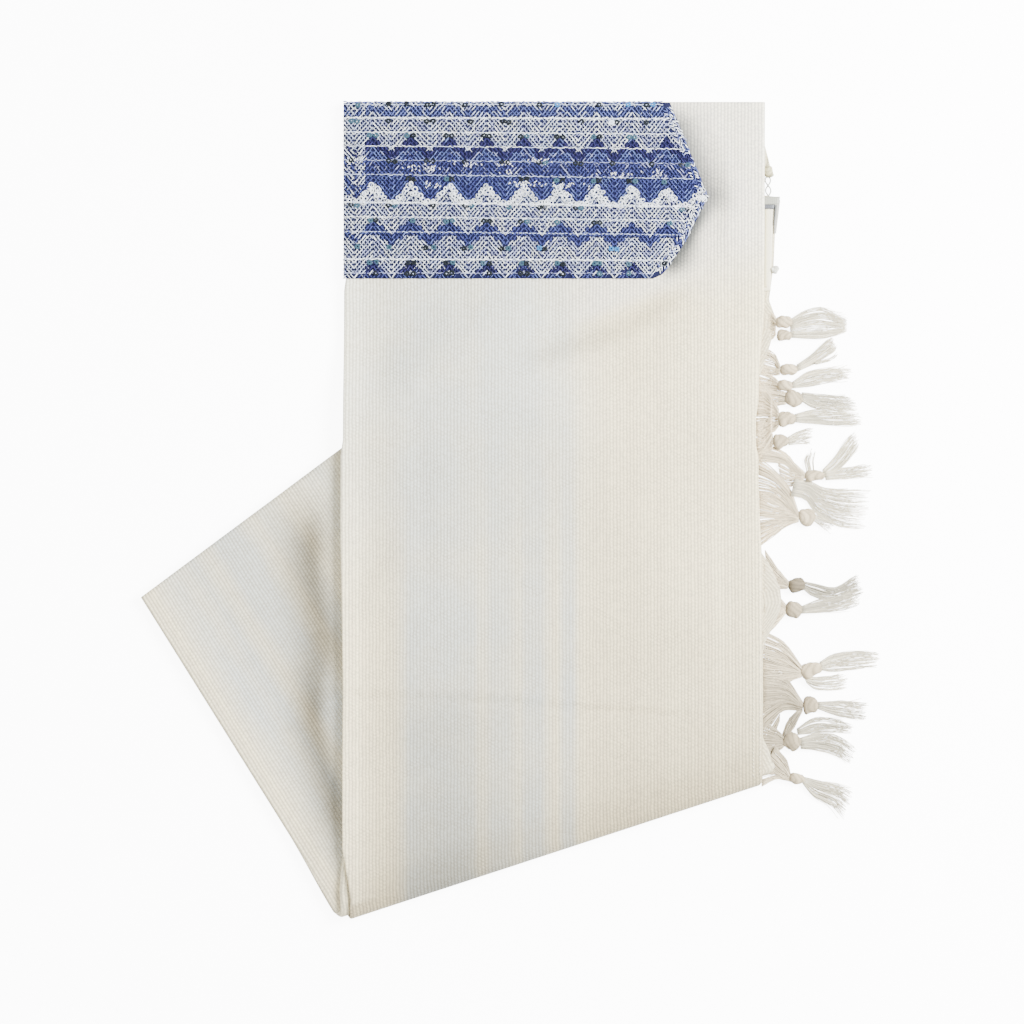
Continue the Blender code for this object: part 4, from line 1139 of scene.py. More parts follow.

# %% [markdown]
# ## The fringe
# The loose warp of both ends is gathered, a handful at a time, and tied in an
# overhand knot; past the knot the threads splay. A hair system could grow such
# threads, but here every thread is a thin closed tube, so it exports as a mesh.
# A bundle is drawn by gates: short lines that the bundle passes through. Each
# thread keeps its own place between the two ends of every gate.

# %% Where each bundle goes
# knots: x, y, half length, half width, heading in degrees
# webs, from the cloth to the knot: how many threads, and gates of x, y, x, y
# skirts, past the knot: how many threads, how much they clump, and their gates
TASSELS = {
    "01": {
        "knots": ((177.8, 123.5, 5.5, 4.2, 8), (178.1, 114.7, 4.9, 3.9, -8)),
        "webs": ((95, ((164.8, 135.8, 164.8, 107.2), (169.3, 132, 169.3, 111.2),
                       (172.6, 126.8, 172.6, 115))),),
        "skirts": ((170, 0.5, ((181.7, 124.8, 182.3, 113.1), (192.1, 131.3, 192.1, 112.5),
                               (203.8, 133.2, 203.8, 112.5), (214.2, 127.4, 214.8, 115.7),
                               (220, 124.8, 219.4, 119))),)},
    "02": {
        "knots": ((181, 92.3, 5.9, 4, 5),),
        "webs": ((50, ((159.6, 109.2, 159.6, 96.9), (171.3, 103.4, 170.6, 95.5),
                       (175.2, 95.5, 175.2, 91))),
                 (45, ((159.6, 98.2, 159.6, 89), (170.6, 94.2, 170.6, 88.4), (175.2, 93, 175.2, 89)))),
        "skirts": ((85, 0.5, ((186.2, 95.5, 186.9, 91), (196, 102.7, 199.9, 96.9),
                              (205.1, 111.2, 210.3, 103.4), (210.3, 113.8, 212.9, 106.6))),
                   (10, 0.3, ((197.9, 96.9, 198.6, 95.5), (207, 99.5, 207, 97.5),
                              (213.5, 103.4, 213.5, 101.4))))},
    "03": {
        "knots": ((178.4, 81.9, 5.2, 3.9, 0),),
        "webs": ((80, ((159.6, 94.2, 159.6, 76.7), (169.3, 89, 169.3, 78.7),
                       (173.9, 85.2, 173.9, 79.3))),),
        "skirts": ((95, 0.4, ((183, 83.9, 183, 80), (194, 91, 194.7, 81.2), (208.3, 93, 209, 84.5),
                              (223.3, 92.3, 222, 86.5))),)},
    "04": {
        "knots": ((184.3, 73.5, 6.2, 5.2, -12),),
        "webs": ((80, ((159.6, 83.2, 159.6, 68.2), (171.9, 80, 171.9, 68.9),
                       (179.1, 77.4, 179.1, 69.5))),),
        "skirts": ((105, 0.4, ((189.5, 77.4, 189.5, 71.5), (197.3, 76.7, 197.3, 67),
                               (210.9, 75.4, 210.9, 65.7), (224.6, 73.5, 226.5, 65.7))),)},
    "05": {
        "knots": ((179.7, 60.1, 5.9, 5.1, 0),),
        "webs": ((190, ((159.6, 89, 159.6, 27.9), (164.8, 82.5, 165.4, 36.4), (170, 74.8, 170, 46.1))),
                 (190, ((159.6, 77.4, 159.6, 48.8), (170, 73.5, 170.6, 51.4),
                        (174.5, 66.3, 174.5, 55.2)))),
        "skirts": ((105, 0.4, ((184.9, 63.1, 184.9, 57.9), (197.3, 66.3, 197.3, 56.6),
                               (213.5, 65.7, 213.5, 55.9), (229.8, 63.7, 229.1, 56.6))),)},
    "06": {
        "knots": ((175.8, 45.5, 5.2, 4.7, 0),),
        "webs": ((110, ((159.6, 56.6, 159.6, 34.5), (167.4, 52.6, 167.4, 37.7),
                        (170.6, 50.1, 170.6, 41))),),
        "skirts": ((60, 0.6, ((180.4, 48.1, 181, 42.9), (188.2, 52.6, 189.5, 43.6),
                              (197.9, 55.9, 196.6, 42.9))),)},
    "07": {
        "knots": ((197.9, 23.1, 6.5, 3.9, 0),),
        "webs": ((110, ((159.6, 46.1, 159.6, 31.9), (177.8, 39, 177.1, 30.6), (184.9, 31.2, 184.3, 25.4),
                        (191.4, 25.4, 191.4, 20.8))),
                 (45, ((173.9, 31.9, 176.5, 15), (182.3, 26.7, 183, 16.2), (190.8, 23.4, 190.8, 20.2)))),
        "skirts": ((80, 0.5, ((203.1, 26.7, 203.8, 21.4), (210.9, 35.1, 214.2, 26.7),
                              (218.7, 46.1, 223.3, 37.1), (224.6, 52, 227.2, 43.6))),
                   (70, 0.5, ((204.4, 25.4, 205.1, 20.2), (218.1, 28.6, 219.4, 20.8),
                              (236.3, 30.6, 236.3, 22.8))),
                   (34, 0.6, ((192.7, 26, 197.9, 26), (191.4, 33.1, 197.9, 33.1),
                              (193.4, 37.1, 199.9, 40.3))))},
    "08": {
        "knots": ((193.1, -3.9, 5.6, 5.6, 15),),
        "webs": ((170, ((159.6, 35.8, 159.6, 4.5), (170.6, 27.9, 171.9, 5.2), (181.7, 15, 180.4, 0),
                        (187.5, -1.3, 187.5, -5.9))),
                 (170, ((159.6, 15, 159.6, -25.4), (172.6, 5.9, 173.2, -15), (180.4, 2, 180.4, -9.8),
                        (187.5, -2, 187.5, -7.2)))),
        "skirts": ((200, 0.4, ((184.9, 20.8, 182.3, 9.8), (194.7, 19.5, 192.1, 7.2),
                               (203.1, 15.6, 199.2, -2), (217.4, 13.7, 213.5, -10.4),
                               (235.6, 13.7, 231.7, -12.3))),
                   (45, 0.5, ((197.3, -1.3, 197.3, -6.5), (203.1, -3.9, 202.5, -10.4),
                              (212.2, -5.9, 209, -13))))},
    "09": {
        "knots": ((186.2, -48.4, 5.7, 4.9, 30),),
        "webs": ((75, ((165.4, -25.4, 166.1, -41), (173.9, -37.7, 173.2, -46.8),
                       (181, -46.1, 180.4, -50.1))),
                 (60, ((164.8, -34.5, 164.8, -52.6), (172.6, -41, 172.6, -51.4),
                       (180.4, -46.8, 180.4, -50.7)))),
        "skirts": ((100, 0.4, ((190.8, -46.1, 190.8, -51.4), (198.6, -47.5, 196.6, -55.9),
                               (210.9, -50.1, 209.6, -59.1), (221.3, -44.2, 224.6, -55.2),
                               (226.5, -41.6, 230.4, -53.3))),)},
    "10": {
        "knots": ((184.3, -64.4, 5.6, 5.5, 0),),
        "webs": ((110, ((164.8, -47.5, 164.8, -65.7), (171.9, -52.6, 171.9, -64.4),
                        (179.1, -61.1, 179.1, -65.7))),
                 (110, ((164.8, -60.5, 164.8, -82.5), (171.3, -61.8, 172.6, -74.8),
                        (179.1, -62.4, 179.1, -67)))),
        "skirts": ((100, 0.4, ((188.8, -62.4, 188.8, -67), (201.2, -57.9, 202.5, -66.3),
                               (214.8, -55.2, 215.5, -64.4), (227.8, -50.1, 228.5, -59.8))),)},
    "11": {
        "knots": ((195.7, -103.7, 7.2, 5.2, 18),),
        "webs": ((150, ((162.8, -77.4, 162.8, -102), (177.8, -85.8, 175.8, -103.4),
                        (189.5, -101.4, 189.5, -107.2))),
                 (110, ((162.8, -93, 162.8, -119), (178.4, -99.5, 178.4, -112.5),
                        (189.5, -102.7, 189.5, -108.5)))),
        "skirts": ((120, 0.4, ((201.2, -98.8, 201.8, -104), (210.3, -93.6, 210.3, -105.3),
                               (223.9, -91.7, 223.9, -104), (240.8, -93, 240.8, -101.4))),
                   (75, 0.5, ((190.8, -107.9, 192.7, -112.5), (200.5, -108.5, 198.6, -117),
                              (210.9, -107.2, 209, -117.7), (219.4, -106, 220.7, -115.7))))},
    "12": {
        "knots": ((195.3, -126.8, 4.9, 6.1, 0),),
        "webs": ((150, ((162.8, -85.2, 162.8, -167.1), (168.7, -93.6, 169.3, -152.1),
                        (175.8, -111.2, 175.2, -137.2))),
                 (150, ((162.8, -102, 162.8, -126.8), (178.4, -107.9, 179.1, -124.8),
                        (190.1, -124.8, 190.1, -129.3))),
                 (90, ((162.8, -122.9, 162.8, -143.7), (175.8, -120.2, 177.1, -130.7),
                       (190.1, -126.1, 190.1, -130.7)))),
        "skirts": ((100, 0.4, ((199.9, -124.8, 199.9, -129.3), (214.8, -124.2, 214.8, -134.6),
                               (233.7, -125.5, 231.7, -136.5))),)},
    "13": {
        "knots": ((183, -150.5, 6.1, 6, -25),),
        "webs": ((70, ((189.5, -130, 185.6, -130), (185.6, -138.5, 179.7, -137.2),
                       (180.4, -148.2, 176.5, -146.2))),
                 (130, ((162.8, -135.8, 162.8, -160.6), (172.6, -142.3, 173.9, -156.7),
                        (178.4, -147.6, 178.4, -153.4)))),
        "skirts": ((75, 0.5, ((186.2, -142.3, 186.9, -146.2), (197.3, -135.2, 198.6, -145.6),
                              (210.9, -135.8, 210.9, -145), (223.9, -139.8, 222.6, -145))),
                   (115, 0.4, ((188.2, -148.2, 188.8, -155.3), (199.9, -145, 199.9, -156.7),
                               (212.9, -146.2, 211.6, -159.9), (226.5, -155.3, 221.3, -165.1))))},
    "14": {
        "knots": ((186.2, -174.7, 5.2, 3.5, -8),),
        "webs": ((110, ((171.9, -152.8, 164.8, -167.1), (179.7, -163.2, 173.9, -172.9),
                        (182.3, -172.2, 181.7, -176.2))),
                 (75, ((162.8, -160.6, 162.8, -179.4), (171.3, -165.8, 172.6, -174.8),
                       (182.3, -172.9, 182.3, -176.8)))),
        "skirts": ((130, 0.5, ((190.1, -173.6, 190.1, -178.1), (201.2, -176.2, 197.3, -186.6),
                               (214.2, -178.8, 209, -193.1), (223.9, -182.7, 217.4, -202.2))),)}}


# %% Threads, bundles and knots
FRINGE = yarn_finish("fringe_yarn", 0.8, 0.15)
THREAD = 0.29                     # radius of a thread
KNOT_HIGH = 3.4                   # greatest half height of a knot
WEB_STEPS = 9                     # points along a thread of a web, and of a skirt
SKIRT_STEPS = 11
STRAY_SHARE, STRAY, STRAIGHT = 0.22, 2.8, 0.5  # threads that stray, how far, and the others
SKIRT_YARN = np.array((0.95, 0.88, 0.67))
WEB_YARN = np.array((1.0, 0.86, 0.60))
# the knots' yarn is darker than the threads' as painted shade among the tied threads
KNOT_YARN_SHADED = np.array((0.62, 0.515, 0.34))
# tassels painted darker than the others: factors for their knots and skirts, and for their webs
TASSEL_BRIGHTNESS = {"04": (0.8, 1.0), "09": (0.33, 0.9), "10": (0.65, 1.0), "11": (0.95, 0.82), "12": (0.7, 0.58),
        "13": (0.7, 0.55), "14": (0.85, 0.75)}


def through(places, t):
    """Catmull-Rom curves through places (threads, gates, 3), read at t per thread."""
    last = places.shape[1] - 1
    padded = np.concatenate((2 * places[:, :1] - places[:, 1:2], places,
                             2 * places[:, -1:] - places[:, -2:-1]), 1)
    k = np.clip(t.astype(int), 0, last - 1)
    f = (t - k)[..., None]
    row = np.arange(len(places))[:, None]
    p0, p1, p2, p3 = (padded[row, k + n] for n in range(4))
    return 0.5 * (2 * p1 + (p2 - p0) * f + (2 * p0 - 5 * p1 + 4 * p2 - p3) * f**2
                  + (3 * p1 - p0 - 3 * p2 + p3) * f**3)


def tubes(paths, radius, sides=3):
    """Points and faces of closed tubes along paths (threads, steps, 3).

    Round each point lie `sides` points at radius: n1 * cos a + n2 * sin a, where
    n1 is across the path and the upright, and n2 is across the path and n1.
    """
    ahead = np.gradient(paths, axis=1)
    ahead /= np.linalg.norm(ahead, axis=-1, keepdims=True) + 1e-9
    first = np.cross(ahead, (0.0, 0.0, 1.0))
    first /= np.linalg.norm(first, axis=-1, keepdims=True) + 1e-9
    second = np.cross(ahead, first)
    a = (np.arange(sides) + 0.5) * 2 * np.pi / sides
    ring = first[..., None, :] * np.cos(a)[:, None] + second[..., None, :] * np.sin(a)[:, None]
    points = paths[..., None, :] + ring * radius[..., None, None]
    count, steps = paths.shape[:2]
    walls = grid_faces(steps, sides, wrap=True)
    cap = np.array([(0, k, k + 1, k + 1) for k in range(1, sides - 1)])
    one = np.concatenate((walls, cap[:, (1, 0, 2, 3)], cap + (steps - 1) * sides))
    return points.reshape(-1, 3), repeated(one, steps * sides, count)


def bundle(gates, count, low, high, steps, clump=None):
    """Paths of a bundle's threads, and how far along each point lies.

    place at a gate = first end * (1 - a) + second end * a, at height low + (high -
    low) * b, waved by a sum of sines. With a clump the far end is free: threads
    draw together by clump * level^1.5, end at odd lengths, and some stray.
    """
    free = clump is not None
    gates = np.array(gates, float)
    a = RNG.uniform(0.0, 1.0, count)
    b = RNG.uniform(0.0, 1.0, count)
    round_off = np.sqrt(np.clip(1 - (2 * a - 1) ** 2, 0.05, 1))
    clumps = max(3, count // 11)
    own = np.clip(((a * clumps).astype(int) + 0.5) / clumps, 0, 1)
    own = own + RNG.normal(0, 0.05, clumps)[np.minimum((a * clumps).astype(int), clumps - 1)]
    level = np.linspace(0, 1, len(gates))
    pull = clump * level[None, :] ** 1.5 if free else np.zeros((1, len(gates)))
    where = a[:, None] * (1 - pull) + own[:, None] * pull
    plan = gates[None, :, :2] * (1 - where[..., None]) + gates[None, :, 2:] * where[..., None]
    low, high = np.asarray(low, float), np.asarray(high, float)
    z = low + (high - low) * (0.5 + (b - 0.5) * round_off)[:, None]
    places = np.concatenate((plan, z[..., None]), -1)
    reach = RNG.uniform(0.78, 1.0, count) if free else np.ones(count)
    t = np.linspace(0, 1, steps)[None, :] * reach[:, None] * (len(gates) - 1)
    paths = through(places, t)
    along = t / (len(gates) - 1)
    phase = RNG.uniform(0, 2 * np.pi, (4, count, 1))
    size = RNG.uniform(0.3, 1.0, (2, count, 1))
    grow = (along**1.2 if free else np.sin(np.pi * along)) * (1.3 if free else 0.7)
    slow, quick = np.sin(8 * along + phase[0]), np.sin(19 * along + phase[1])
    paths[..., 0] += grow * size[1] * 0.35 * np.sin(9 * along + phase[2])
    paths[..., 1] += grow * (size[0] * 0.55 * slow + 0.25 * quick)
    paths[..., 2] += grow * 0.25 * np.sin(11 * along + phase[3])
    if free:
        stray = np.where(RNG.random(count) < STRAY_SHARE, RNG.normal(0, STRAY, count),
                         RNG.normal(0, STRAIGHT, count))
        paths[..., 1] += stray[:, None] * along**2.2
    paths[..., 2] = np.maximum(paths[..., 2], THREAD + 0.02)
    return paths, along


def knot_ball(x, y, half_long, half_wide, heading, yarn, rows=38, columns=28):
    """An overhand knot: a lumpy ball wound with broad, slanting wraps.

    point = centre + axis * half length * t + (across * half width * cos a + up *
    height * sin a) * body(t) * (1 + grooves + lumps). A wrap is one half sine of
    the winding w = t * half length + lean * cos(a + turn), and each carries finer
    threads. Returns points, faces and colours; both ends close on one point.
    """
    axis = np.array((math.cos(heading), math.sin(heading), 0.0))
    across = np.array((-axis[1], axis[0], 0.0))
    tall = min(KNOT_HIGH, half_wide * 0.9)
    centre = np.array((x, y, tall + 0.1))
    t = np.sin(np.linspace(-0.5, 0.5, rows) * np.pi * 0.97)[:, None]
    a = np.linspace(0, 2 * np.pi, columns, endpoint=False)[None, :]
    body = (1 - np.abs(t) ** 2.6) ** (1 / 2.6)
    turn, lean = RNG.uniform(0, 2 * np.pi), RNG.uniform(0.7, 1.2) * half_wide
    broad = half_long * 2 / RNG.uniform(2.1, 2.9)
    wound = t * half_long + lean * np.cos(a + turn) + 0.5 * np.sin(2 * a + turn)
    groove = np.abs(np.sin(np.pi * wound / broad)) ** 0.6
    thread = np.sin(2 * np.pi * wound / 1.1 + 1.3 * np.sin(3 * a))
    lumps = 0.09 * np.sin(2 * a + turn + 2.4 * t) + 0.08 * np.sin(a - turn - 3.7 * t)
    round_off = body * (0.95 - 0.16 * t + 0.13 * (groove - 0.7) + 0.02 * thread + lumps)
    points = (centre + axis * (t * half_long + 0 * a)[..., None]
              + across * (half_wide * round_off * np.cos(a))[..., None]
              + (0.0, 0.0, 1.0) * (tall * round_off * np.sin(a))[..., None])
    level = RNG.uniform(0.82, 1.08, 12)[np.floor(wound / broad).astype(int) % 12]
    # painted shade: darker in the grooves between wraps and towards the end where the web goes in; the two
    # end points darker still
    shade = level * (0.55 + 0.45 * groove) * (1 + 0.12 * thread) * (1 - 0.45 * np.clip(-t - 0.35, 0, 1))
    ends = [points[0].mean(0), points[-1].mean(0)]
    faces = [grid_faces(rows, columns, wrap=True)]
    ring = np.arange(0, columns, 2)
    for tip, base, order in ((rows * columns, 0, 1), (rows * columns + 1, (rows - 1) * columns, -1)):
        lid = np.stack((np.full(len(ring), tip), base + ring, base + (ring + 1) % columns,
                        base + (ring + 2) % columns), -1)
        faces.append(lid[:, ::-order])
    points = np.concatenate((points.reshape(-1, 3), ends))
    points[:, 2] = np.maximum(points[:, 2], 0.05)
    tint = np.array(yarn) * np.concatenate((shade.ravel(), (0.6, 0.6)))[:, None]
    return points, np.concatenate(faces), tint


def edge_height(gate):
    """Height of the cloth's end where a web leaves it."""
    x = max(min(gate[0], gate[2]), 160.0)
    return float(rise(x, (gate[1] + gate[3]) / 2))


def put_together(name, parts, finish):
    """Parts of points, faces and colours as one mesh."""
    starts = np.cumsum([0] + [len(points) for points, _, _ in parts[:-1]])
    faces = [part[1] + start for part, start in zip(parts, starts)]
    return put_mesh(name, np.concatenate([part[0] for part in parts]), np.concatenate(faces), finish,
                    colours=np.concatenate([part[2] for part in parts]))


def dyed(paths, radius, yarn, darkest, lightest):
    """Threads along paths, each its own shade of the yarn."""
    points, faces = tubes(paths, radius)
    count = len(paths)
    shade = yarn * RNG.uniform(darkest, lightest, (count, 1))
    return points, faces, np.repeat(shade, len(points) // count, 0)


def web(gates, count, tall, brightness):
    """Threads from the cloth's edge to a knot, which end through its whole height."""
    lift = edge_height(gates[0])
    between = len(gates) - 2
    low = [0.5 + lift] + [0.4 + lift * 0.5] * between + [tall * 0.5]
    high = [2.2 + lift] + [2.8 + lift * 0.5] * between + [tall * 1.5]
    paths, along = bundle(gates, count, low, high, WEB_STEPS)
    radius = THREAD * RNG.uniform(0.8, 1.25, count)[:, None] + 0 * along
    return dyed(paths, radius, WEB_YARN * brightness, 0.65, 1.04)


def skirt(gates, count, clump, tall, brightness):
    """Threads that splay past a knot, settle towards the table and get thinner.

    Their colour is darkened less than the knot's: colour * (0.4 + 0.6 * brightness).
    """
    last = len(gates) - 1
    low = [tall * 0.6] + [0.35] * last
    high = [tall * 1.4] + [3.6 - 2.2 * n / last for n in range(1, last + 1)]
    paths, along = bundle(gates, count, low, high, SKIRT_STEPS, clump)
    radius = THREAD * RNG.uniform(0.65, 1.1, count)[:, None] * (1 - 0.45 * along)
    return dyed(paths, radius, SKIRT_YARN * (0.4 + 0.6 * brightness), 0.6, 1.06)


def tassel(name, parts):
    """One tassel as one mesh: its webs, its knots and its skirts."""
    brightness, web_brightness = TASSEL_BRIGHTNESS.get(name, (1.0, 1.0))
    tall = min(KNOT_HIGH, parts["knots"][0][3] * 0.9)
    meshes = [web(gates, count, tall, web_brightness) for count, gates in parts["webs"]]
    meshes += [knot_ball(x, y, half_long, half_wide, math.radians(heading), KNOT_YARN_SHADED * brightness)
               for x, y, half_long, half_wide, heading in parts["knots"]]
    meshes += [skirt(gates, count, clump, tall, brightness) for count, clump, gates in parts["skirts"]]
    made = put_together("fringe_" + name, meshes, FRINGE)
    print(made.name, len(made.data.vertices), "points")
    return made


# %% The tassels
FORKED = ("07", "11", "13")
for name, parts in TASSELS.items():
    piece = tassel(name, parts)
    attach(piece, "root")
    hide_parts("tassel_" + name, *(["tassel_" + name + "_fork"] if name in FORKED else []))

# %% [markdown]
# ## The corner at the right-hand edge
# A corner of the upper end comes out past the front. It is faced with a smooth
# strip whose top is a narrow satin binding, and the thread of its corner tassel
# runs up beside it, past a small dark knot, and in under the front. Small pieces,
# but they break the straight edge, so each is made as it is: strips as rounded
# grids, threads as tubes. Two rows of stitching close the front's lower corner.

# %% Facing, binding and thread knot
def smooth_finish():
    """Satin facing: colour from the mesh, a faint thread line, a soft gloss."""
    made, shader, (add, maths, join) = principled("corner_facing", 0.42)
    shader.inputs["Sheen Weight"].default_value = 0.2
    own = add("ShaderNodeAttribute", attribute_name="yarn")
    place = add("ShaderNodeTexCoord")
    lines = add("ShaderNodeTexWave", wave_type="BANDS", bands_direction="X", wave_profile="SIN")
    lines.inputs["Scale"].default_value = 260.0
    lines.inputs["Distortion"].default_value = 1.5
    join(place.outputs["Object"], lines.inputs["Vector"])
    shade = maths("MULTIPLY_ADD", lines.outputs["Fac"], 0.16, 0.88)
    shade_colour(add, join, shader, own.outputs["Color"], shade)
    raised(add, join, shader, lines.outputs["Fac"], 0.3, 0.1)
    return made


FACING = smooth_finish()
FACING_CREAM = (0.86, 0.80, 0.60)
LINE_CREAM = (0.72, 0.66, 0.42)
FOLD_GREY = (0.33, 0.335, 0.275)
SIDE_GREY = (0.40, 0.39, 0.34)
BINDING_GREY = (0.085, 0.09, 0.105)
SEAM_GREY = (0.085, 0.09, 0.085)
PLAIT_YARNS = ((0.58, 0.54, 0.38), (0.68, 0.63, 0.46))
LOOP_YARN = (0.40, 0.41, 0.37)
PLAIT_RADIUS, LOOP_RADIUS = 0.42, 0.50
STRAND_STEPS, STRAND_SIDES = 24, 6


def cushioned_strip(left, right, top, foot, level, thick, colour, rows=40, columns=8):
    """A closed strip, cushioned above and below, between a left and a right edge.

    x = left + (right - left) * u, y = top + (foot - top) * v, and height = level
    +- thick / 2 * sqrt(1 - (2 u - 1)^4), thinner by the same rule at its two ends.
    left and right are x at the top and at the foot.
    """
    u = 0.5 - 0.5 * np.cos(np.linspace(0, np.pi, columns))
    ring_u = np.concatenate((u, u[::-1][1:-1]))
    side = np.concatenate((np.ones(columns), -np.ones(columns - 2)))
    bow = thick / 2 * np.sqrt(np.clip(1 - (2 * ring_u - 1) ** 4, 0, 1)) * side
    v = np.linspace(0, 1, rows)[:, None]
    ends = np.sqrt(np.clip(1 - (2 * v - 1) ** 30, 0.02, 1))
    x = np.interp(v, (0, 1), left) * (1 - ring_u) + np.interp(v, (0, 1), right) * ring_u
    y = top + (foot - top) * v + 0 * x
    points = np.stack((x, y, level + bow * ends + 0 * x), -1)
    count = len(ring_u)
    k = np.arange(count // 2 - 1)
    lid = np.stack((k, k + 1, count - 2 - k, count - 1 - k), -1)
    faces = np.concatenate((grid_faces(rows, count, wrap=True), lid[:, ::-1], lid + (rows - 1) * count))
    return points.reshape(-1, 3), faces[:, ::-1], np.tile(colour, (rows * count, 1))


def facing():
    """The cream facing, its dark seam line and the satin binding across its top."""
    strips = (
        cushioned_strip((163.6, 163.6), (171.2, 169.2), 198.4, 143.6, 2.95, 0.7, FACING_CREAM),
        cushioned_strip((165.6, 165.2), (167.2, 166.8), 197.5, 146.0, 3.35, 0.5, LINE_CREAM),
        cushioned_strip((164.0, 164.0), (175.3, 174.9), 205.3, 200.0, 3.5, 0.9, FOLD_GREY, 8),
        cushioned_strip((171.7, 171.2), (175.5, 172.8), 203.0, 181.2, 3.3, 0.8, SIDE_GREY),
        cushioned_strip((171.8, 171.0), (173.2, 171.6), 199.6, 186.5, 3.95, 0.8, SEAM_GREY),
        cushioned_strip((163.6, 163.6), (171.8, 171.6), 200.2, 197.2, 3.6, 0.9, BINDING_GREY, 8))
    return put_together("corner_facing", strips, FACING)


def strand_tubes(x, y, z, radius, yarns):
    """Tubes along strands whose x, y and z are (strands, steps) arrays."""
    paths = np.stack(np.broadcast_arrays(x, y, z), -1)
    points, faces = tubes(paths, np.full(paths.shape[:2], radius), STRAND_SIDES)
    return points, faces, np.repeat(yarns, STRAND_STEPS * STRAND_SIDES, 0)


def corner_threads():
    """A flat plait out of the cloth, its knot, and two strands twisted below it.

    The plait's strands fan out to the knot. A strand of the twist lies 1.7 mm *
    sin(2 pi * turns * t + phase) aside of the middle and 0.6 mm * cos of it above.
    """
    t = np.linspace(0, 1, STRAND_STEPS)
    k = np.arange(8)[:, None]
    plait = strand_tubes(165.2 + 2.0 * t + (4.4 * t + 0.3) * (k / 7 - 0.5), 238.5 - 16.5 * t,
                         1.3 + 0.8 * np.sin(np.pi * t) + 0.35 * np.cos(9 * t + k), PLAIT_RADIUS,
                         np.array(PLAIT_YARNS)[k[:, 0] % 2])
    angle = 2 * np.pi * 1.1 * t + np.array((0.0, np.pi))[:, None]
    twist = strand_tubes(167.4 + 0.6 * t + 1.7 * np.sin(angle), 219.5 - 15.0 * t,
                         1.4 + 0.6 * np.cos(angle), LOOP_RADIUS, (LOOP_YARN, LOOP_YARN))
    knot = knot_ball(168.0, 221.6, 3.9, 3.2, math.radians(100), (0.55, 0.51, 0.32), 28, 24)
    return put_together("corner_threads", (plait, twist, knot), FRINGE)


def facing_knot():
    """The small knot of thread that ends the facing's seam."""
    points, faces, tint = knot_ball(172.2, 157.8, 2.8, 2.4, math.radians(35), (0.80, 0.80, 0.70), 28, 24)
    return put_mesh("corner_knot", points + (0, 0, 0.6), faces, FRINGE, colours=tint)


HEM_ROWS = ((156.8, 0.5), (161.0, -0.4))          # x, and how the stitches slant
HEM_YARN = (0.92, 0.86, 0.68)


def hem_stitching():
    """Two rows of short slanting stitches down the front's lower right corner."""
    y = np.arange(-20.0, -177.0, -2.4)
    rows = []
    for column, slant in HEM_ROWS:
        x = np.full(len(y), column) + RNG.normal(0, 0.08, len(y))
        w = np.clip((NECK_Y - y) / (NECK_Y - turn_y(x)), 0, 1)
        place = strip(x, w, 0.0)
        rows.append((place + (0, 0, 0.05), np.full(len(y), np.pi / 2 + slant)))
    centre = np.concatenate([r[0] for r in rows])
    heading = np.concatenate([r[1] for r in rows])
    fade = np.clip((-centre[:, 1] - 20) / 110, 0.15, 1)
    colour = np.array(HEM_YARN) * RNG.uniform(0.9, 1.0, (len(centre), 1))
    return stitches("hem_stitching", centre, heading, np.full(len(centre), 1.9), 0.16 + 0.12 * fade,
                    colour, FRINGE, arch=0.1)


PATCH = facing()
LOOP = corner_threads()
FACING_KNOT = facing_knot()
HEM = hem_stitching()
for piece, finish_slot, solid in ((PATCH, "corner_facing", "corner_patch"),
                                  (LOOP, "fringe_thread", "corner_loop"),
                                  (FACING_KNOT, "corner_facing", "corner_patch"),
                                  (HEM, "shawl_cloth", "front_panel")):
    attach(piece, "root")
    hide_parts(solid)

# %% [markdown]
# ## Camera, light and floor
# A long lens looks straight down, so the edges of the cloth hardly lean. One
# large soft light from the upper right leaves the faint shadow to the left of
# the front, which painted shade on the flap deepens, and a pale world fills the rest.

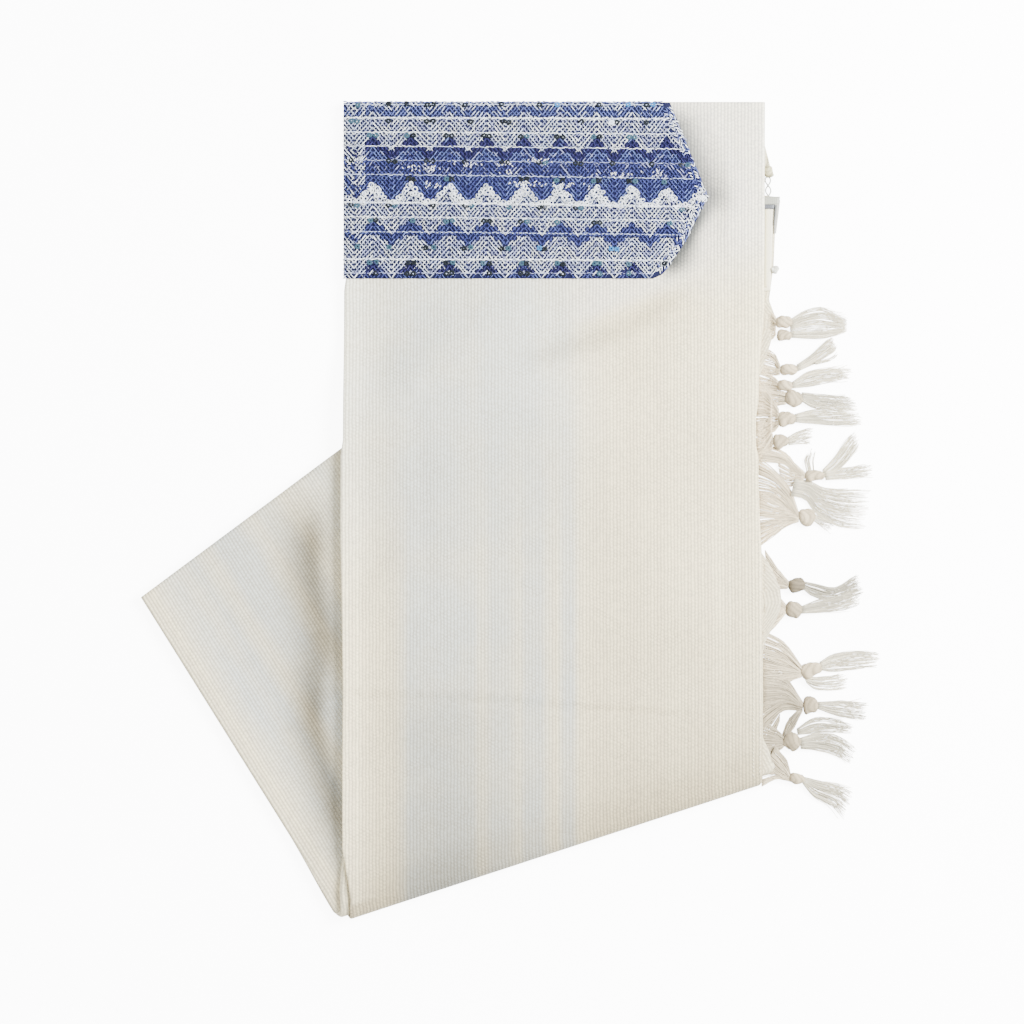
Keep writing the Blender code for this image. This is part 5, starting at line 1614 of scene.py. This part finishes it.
# %% Studio
VIEW_WIDE = 665.6                 # what the frame shows, at the cloth's height
LENS = 100.0
SENSOR = 36.0
FLOOR_GLOW = 9.0                  # the floor shows white and lights nothing
FLOOR_HALF = 12000.0
FLOOR_LEVEL = -0.4                # just under the lowest threads
SKY_LIGHT = 1.6
LAMP_WATTS = 98.0
LAMP_SIDE = 0.8                   # metres


def studio():
    """Floor, lights, world and camera."""
    floor_finish, shader, (add, maths, join) = principled("pale_floor", 0.9)
    shader.inputs["Base Color"].default_value = (0.93, 0.93, 0.93, 1.0)
    shader.inputs["Emission Color"].default_value = (1.0, 1.0, 1.0, 1.0)
    seen = add("ShaderNodeLightPath")
    join(maths("MULTIPLY", seen.outputs["Is Camera Ray"], FLOOR_GLOW), shader.inputs["Emission Strength"])
    corners = [(x * FLOOR_HALF, y * FLOOR_HALF, FLOOR_LEVEL) for x, y in ((-1, -1), (1, -1), (1, 1), (-1, 1))]
    floor = put_mesh("floor", corners, [(0, 1, 2, 3)], floor_finish)
    world = bpy.data.worlds.new("studio")
    bpy.context.scene.world = world
    world.use_nodes = True
    sky = world.node_tree.nodes["Background"]
    sky.inputs["Color"].default_value = (1.0, 1.0, 1.0, 1.0)
    sky.inputs["Strength"].default_value = SKY_LIGHT
    lamp = bpy.data.lights.new("softbox", "AREA")
    lamp.shape = "RECTANGLE"
    lamp.size = LAMP_SIDE
    lamp.size_y = LAMP_SIDE
    lamp.energy = LAMP_WATTS
    light = bpy.data.objects.new("softbox", lamp)
    light.location = (1.05, 0.35, 1.15)
    light.rotation_euler = light.location.to_track_quat("Z", "Y").to_euler()
    bpy.context.scene.collection.objects.link(light)
    camera = bpy.data.cameras.new("camera")
    camera.lens = LENS
    camera.sensor_width = SENSOR
    camera.clip_end = 20.0
    eye = bpy.data.objects.new("camera", camera)
    eye.location = (0.3 * MM, -0.65 * MM, (VIEW_WIDE * LENS / SENSOR + 12.0) * MM)
    bpy.context.scene.collection.objects.link(eye)
    bpy.context.scene.camera = eye


studio()

# %% Hand the pieces over
for piece, solids in ((FRONT, ("front_panel", "under_panel")), (FLAP, ("flap_panel", "fringed_end_lower")),
                      (INNER, ("front_layers", "flap_layers")), (UPPER, ("fringed_end_upper",))):
    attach(piece, "root")
    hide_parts(*solids)
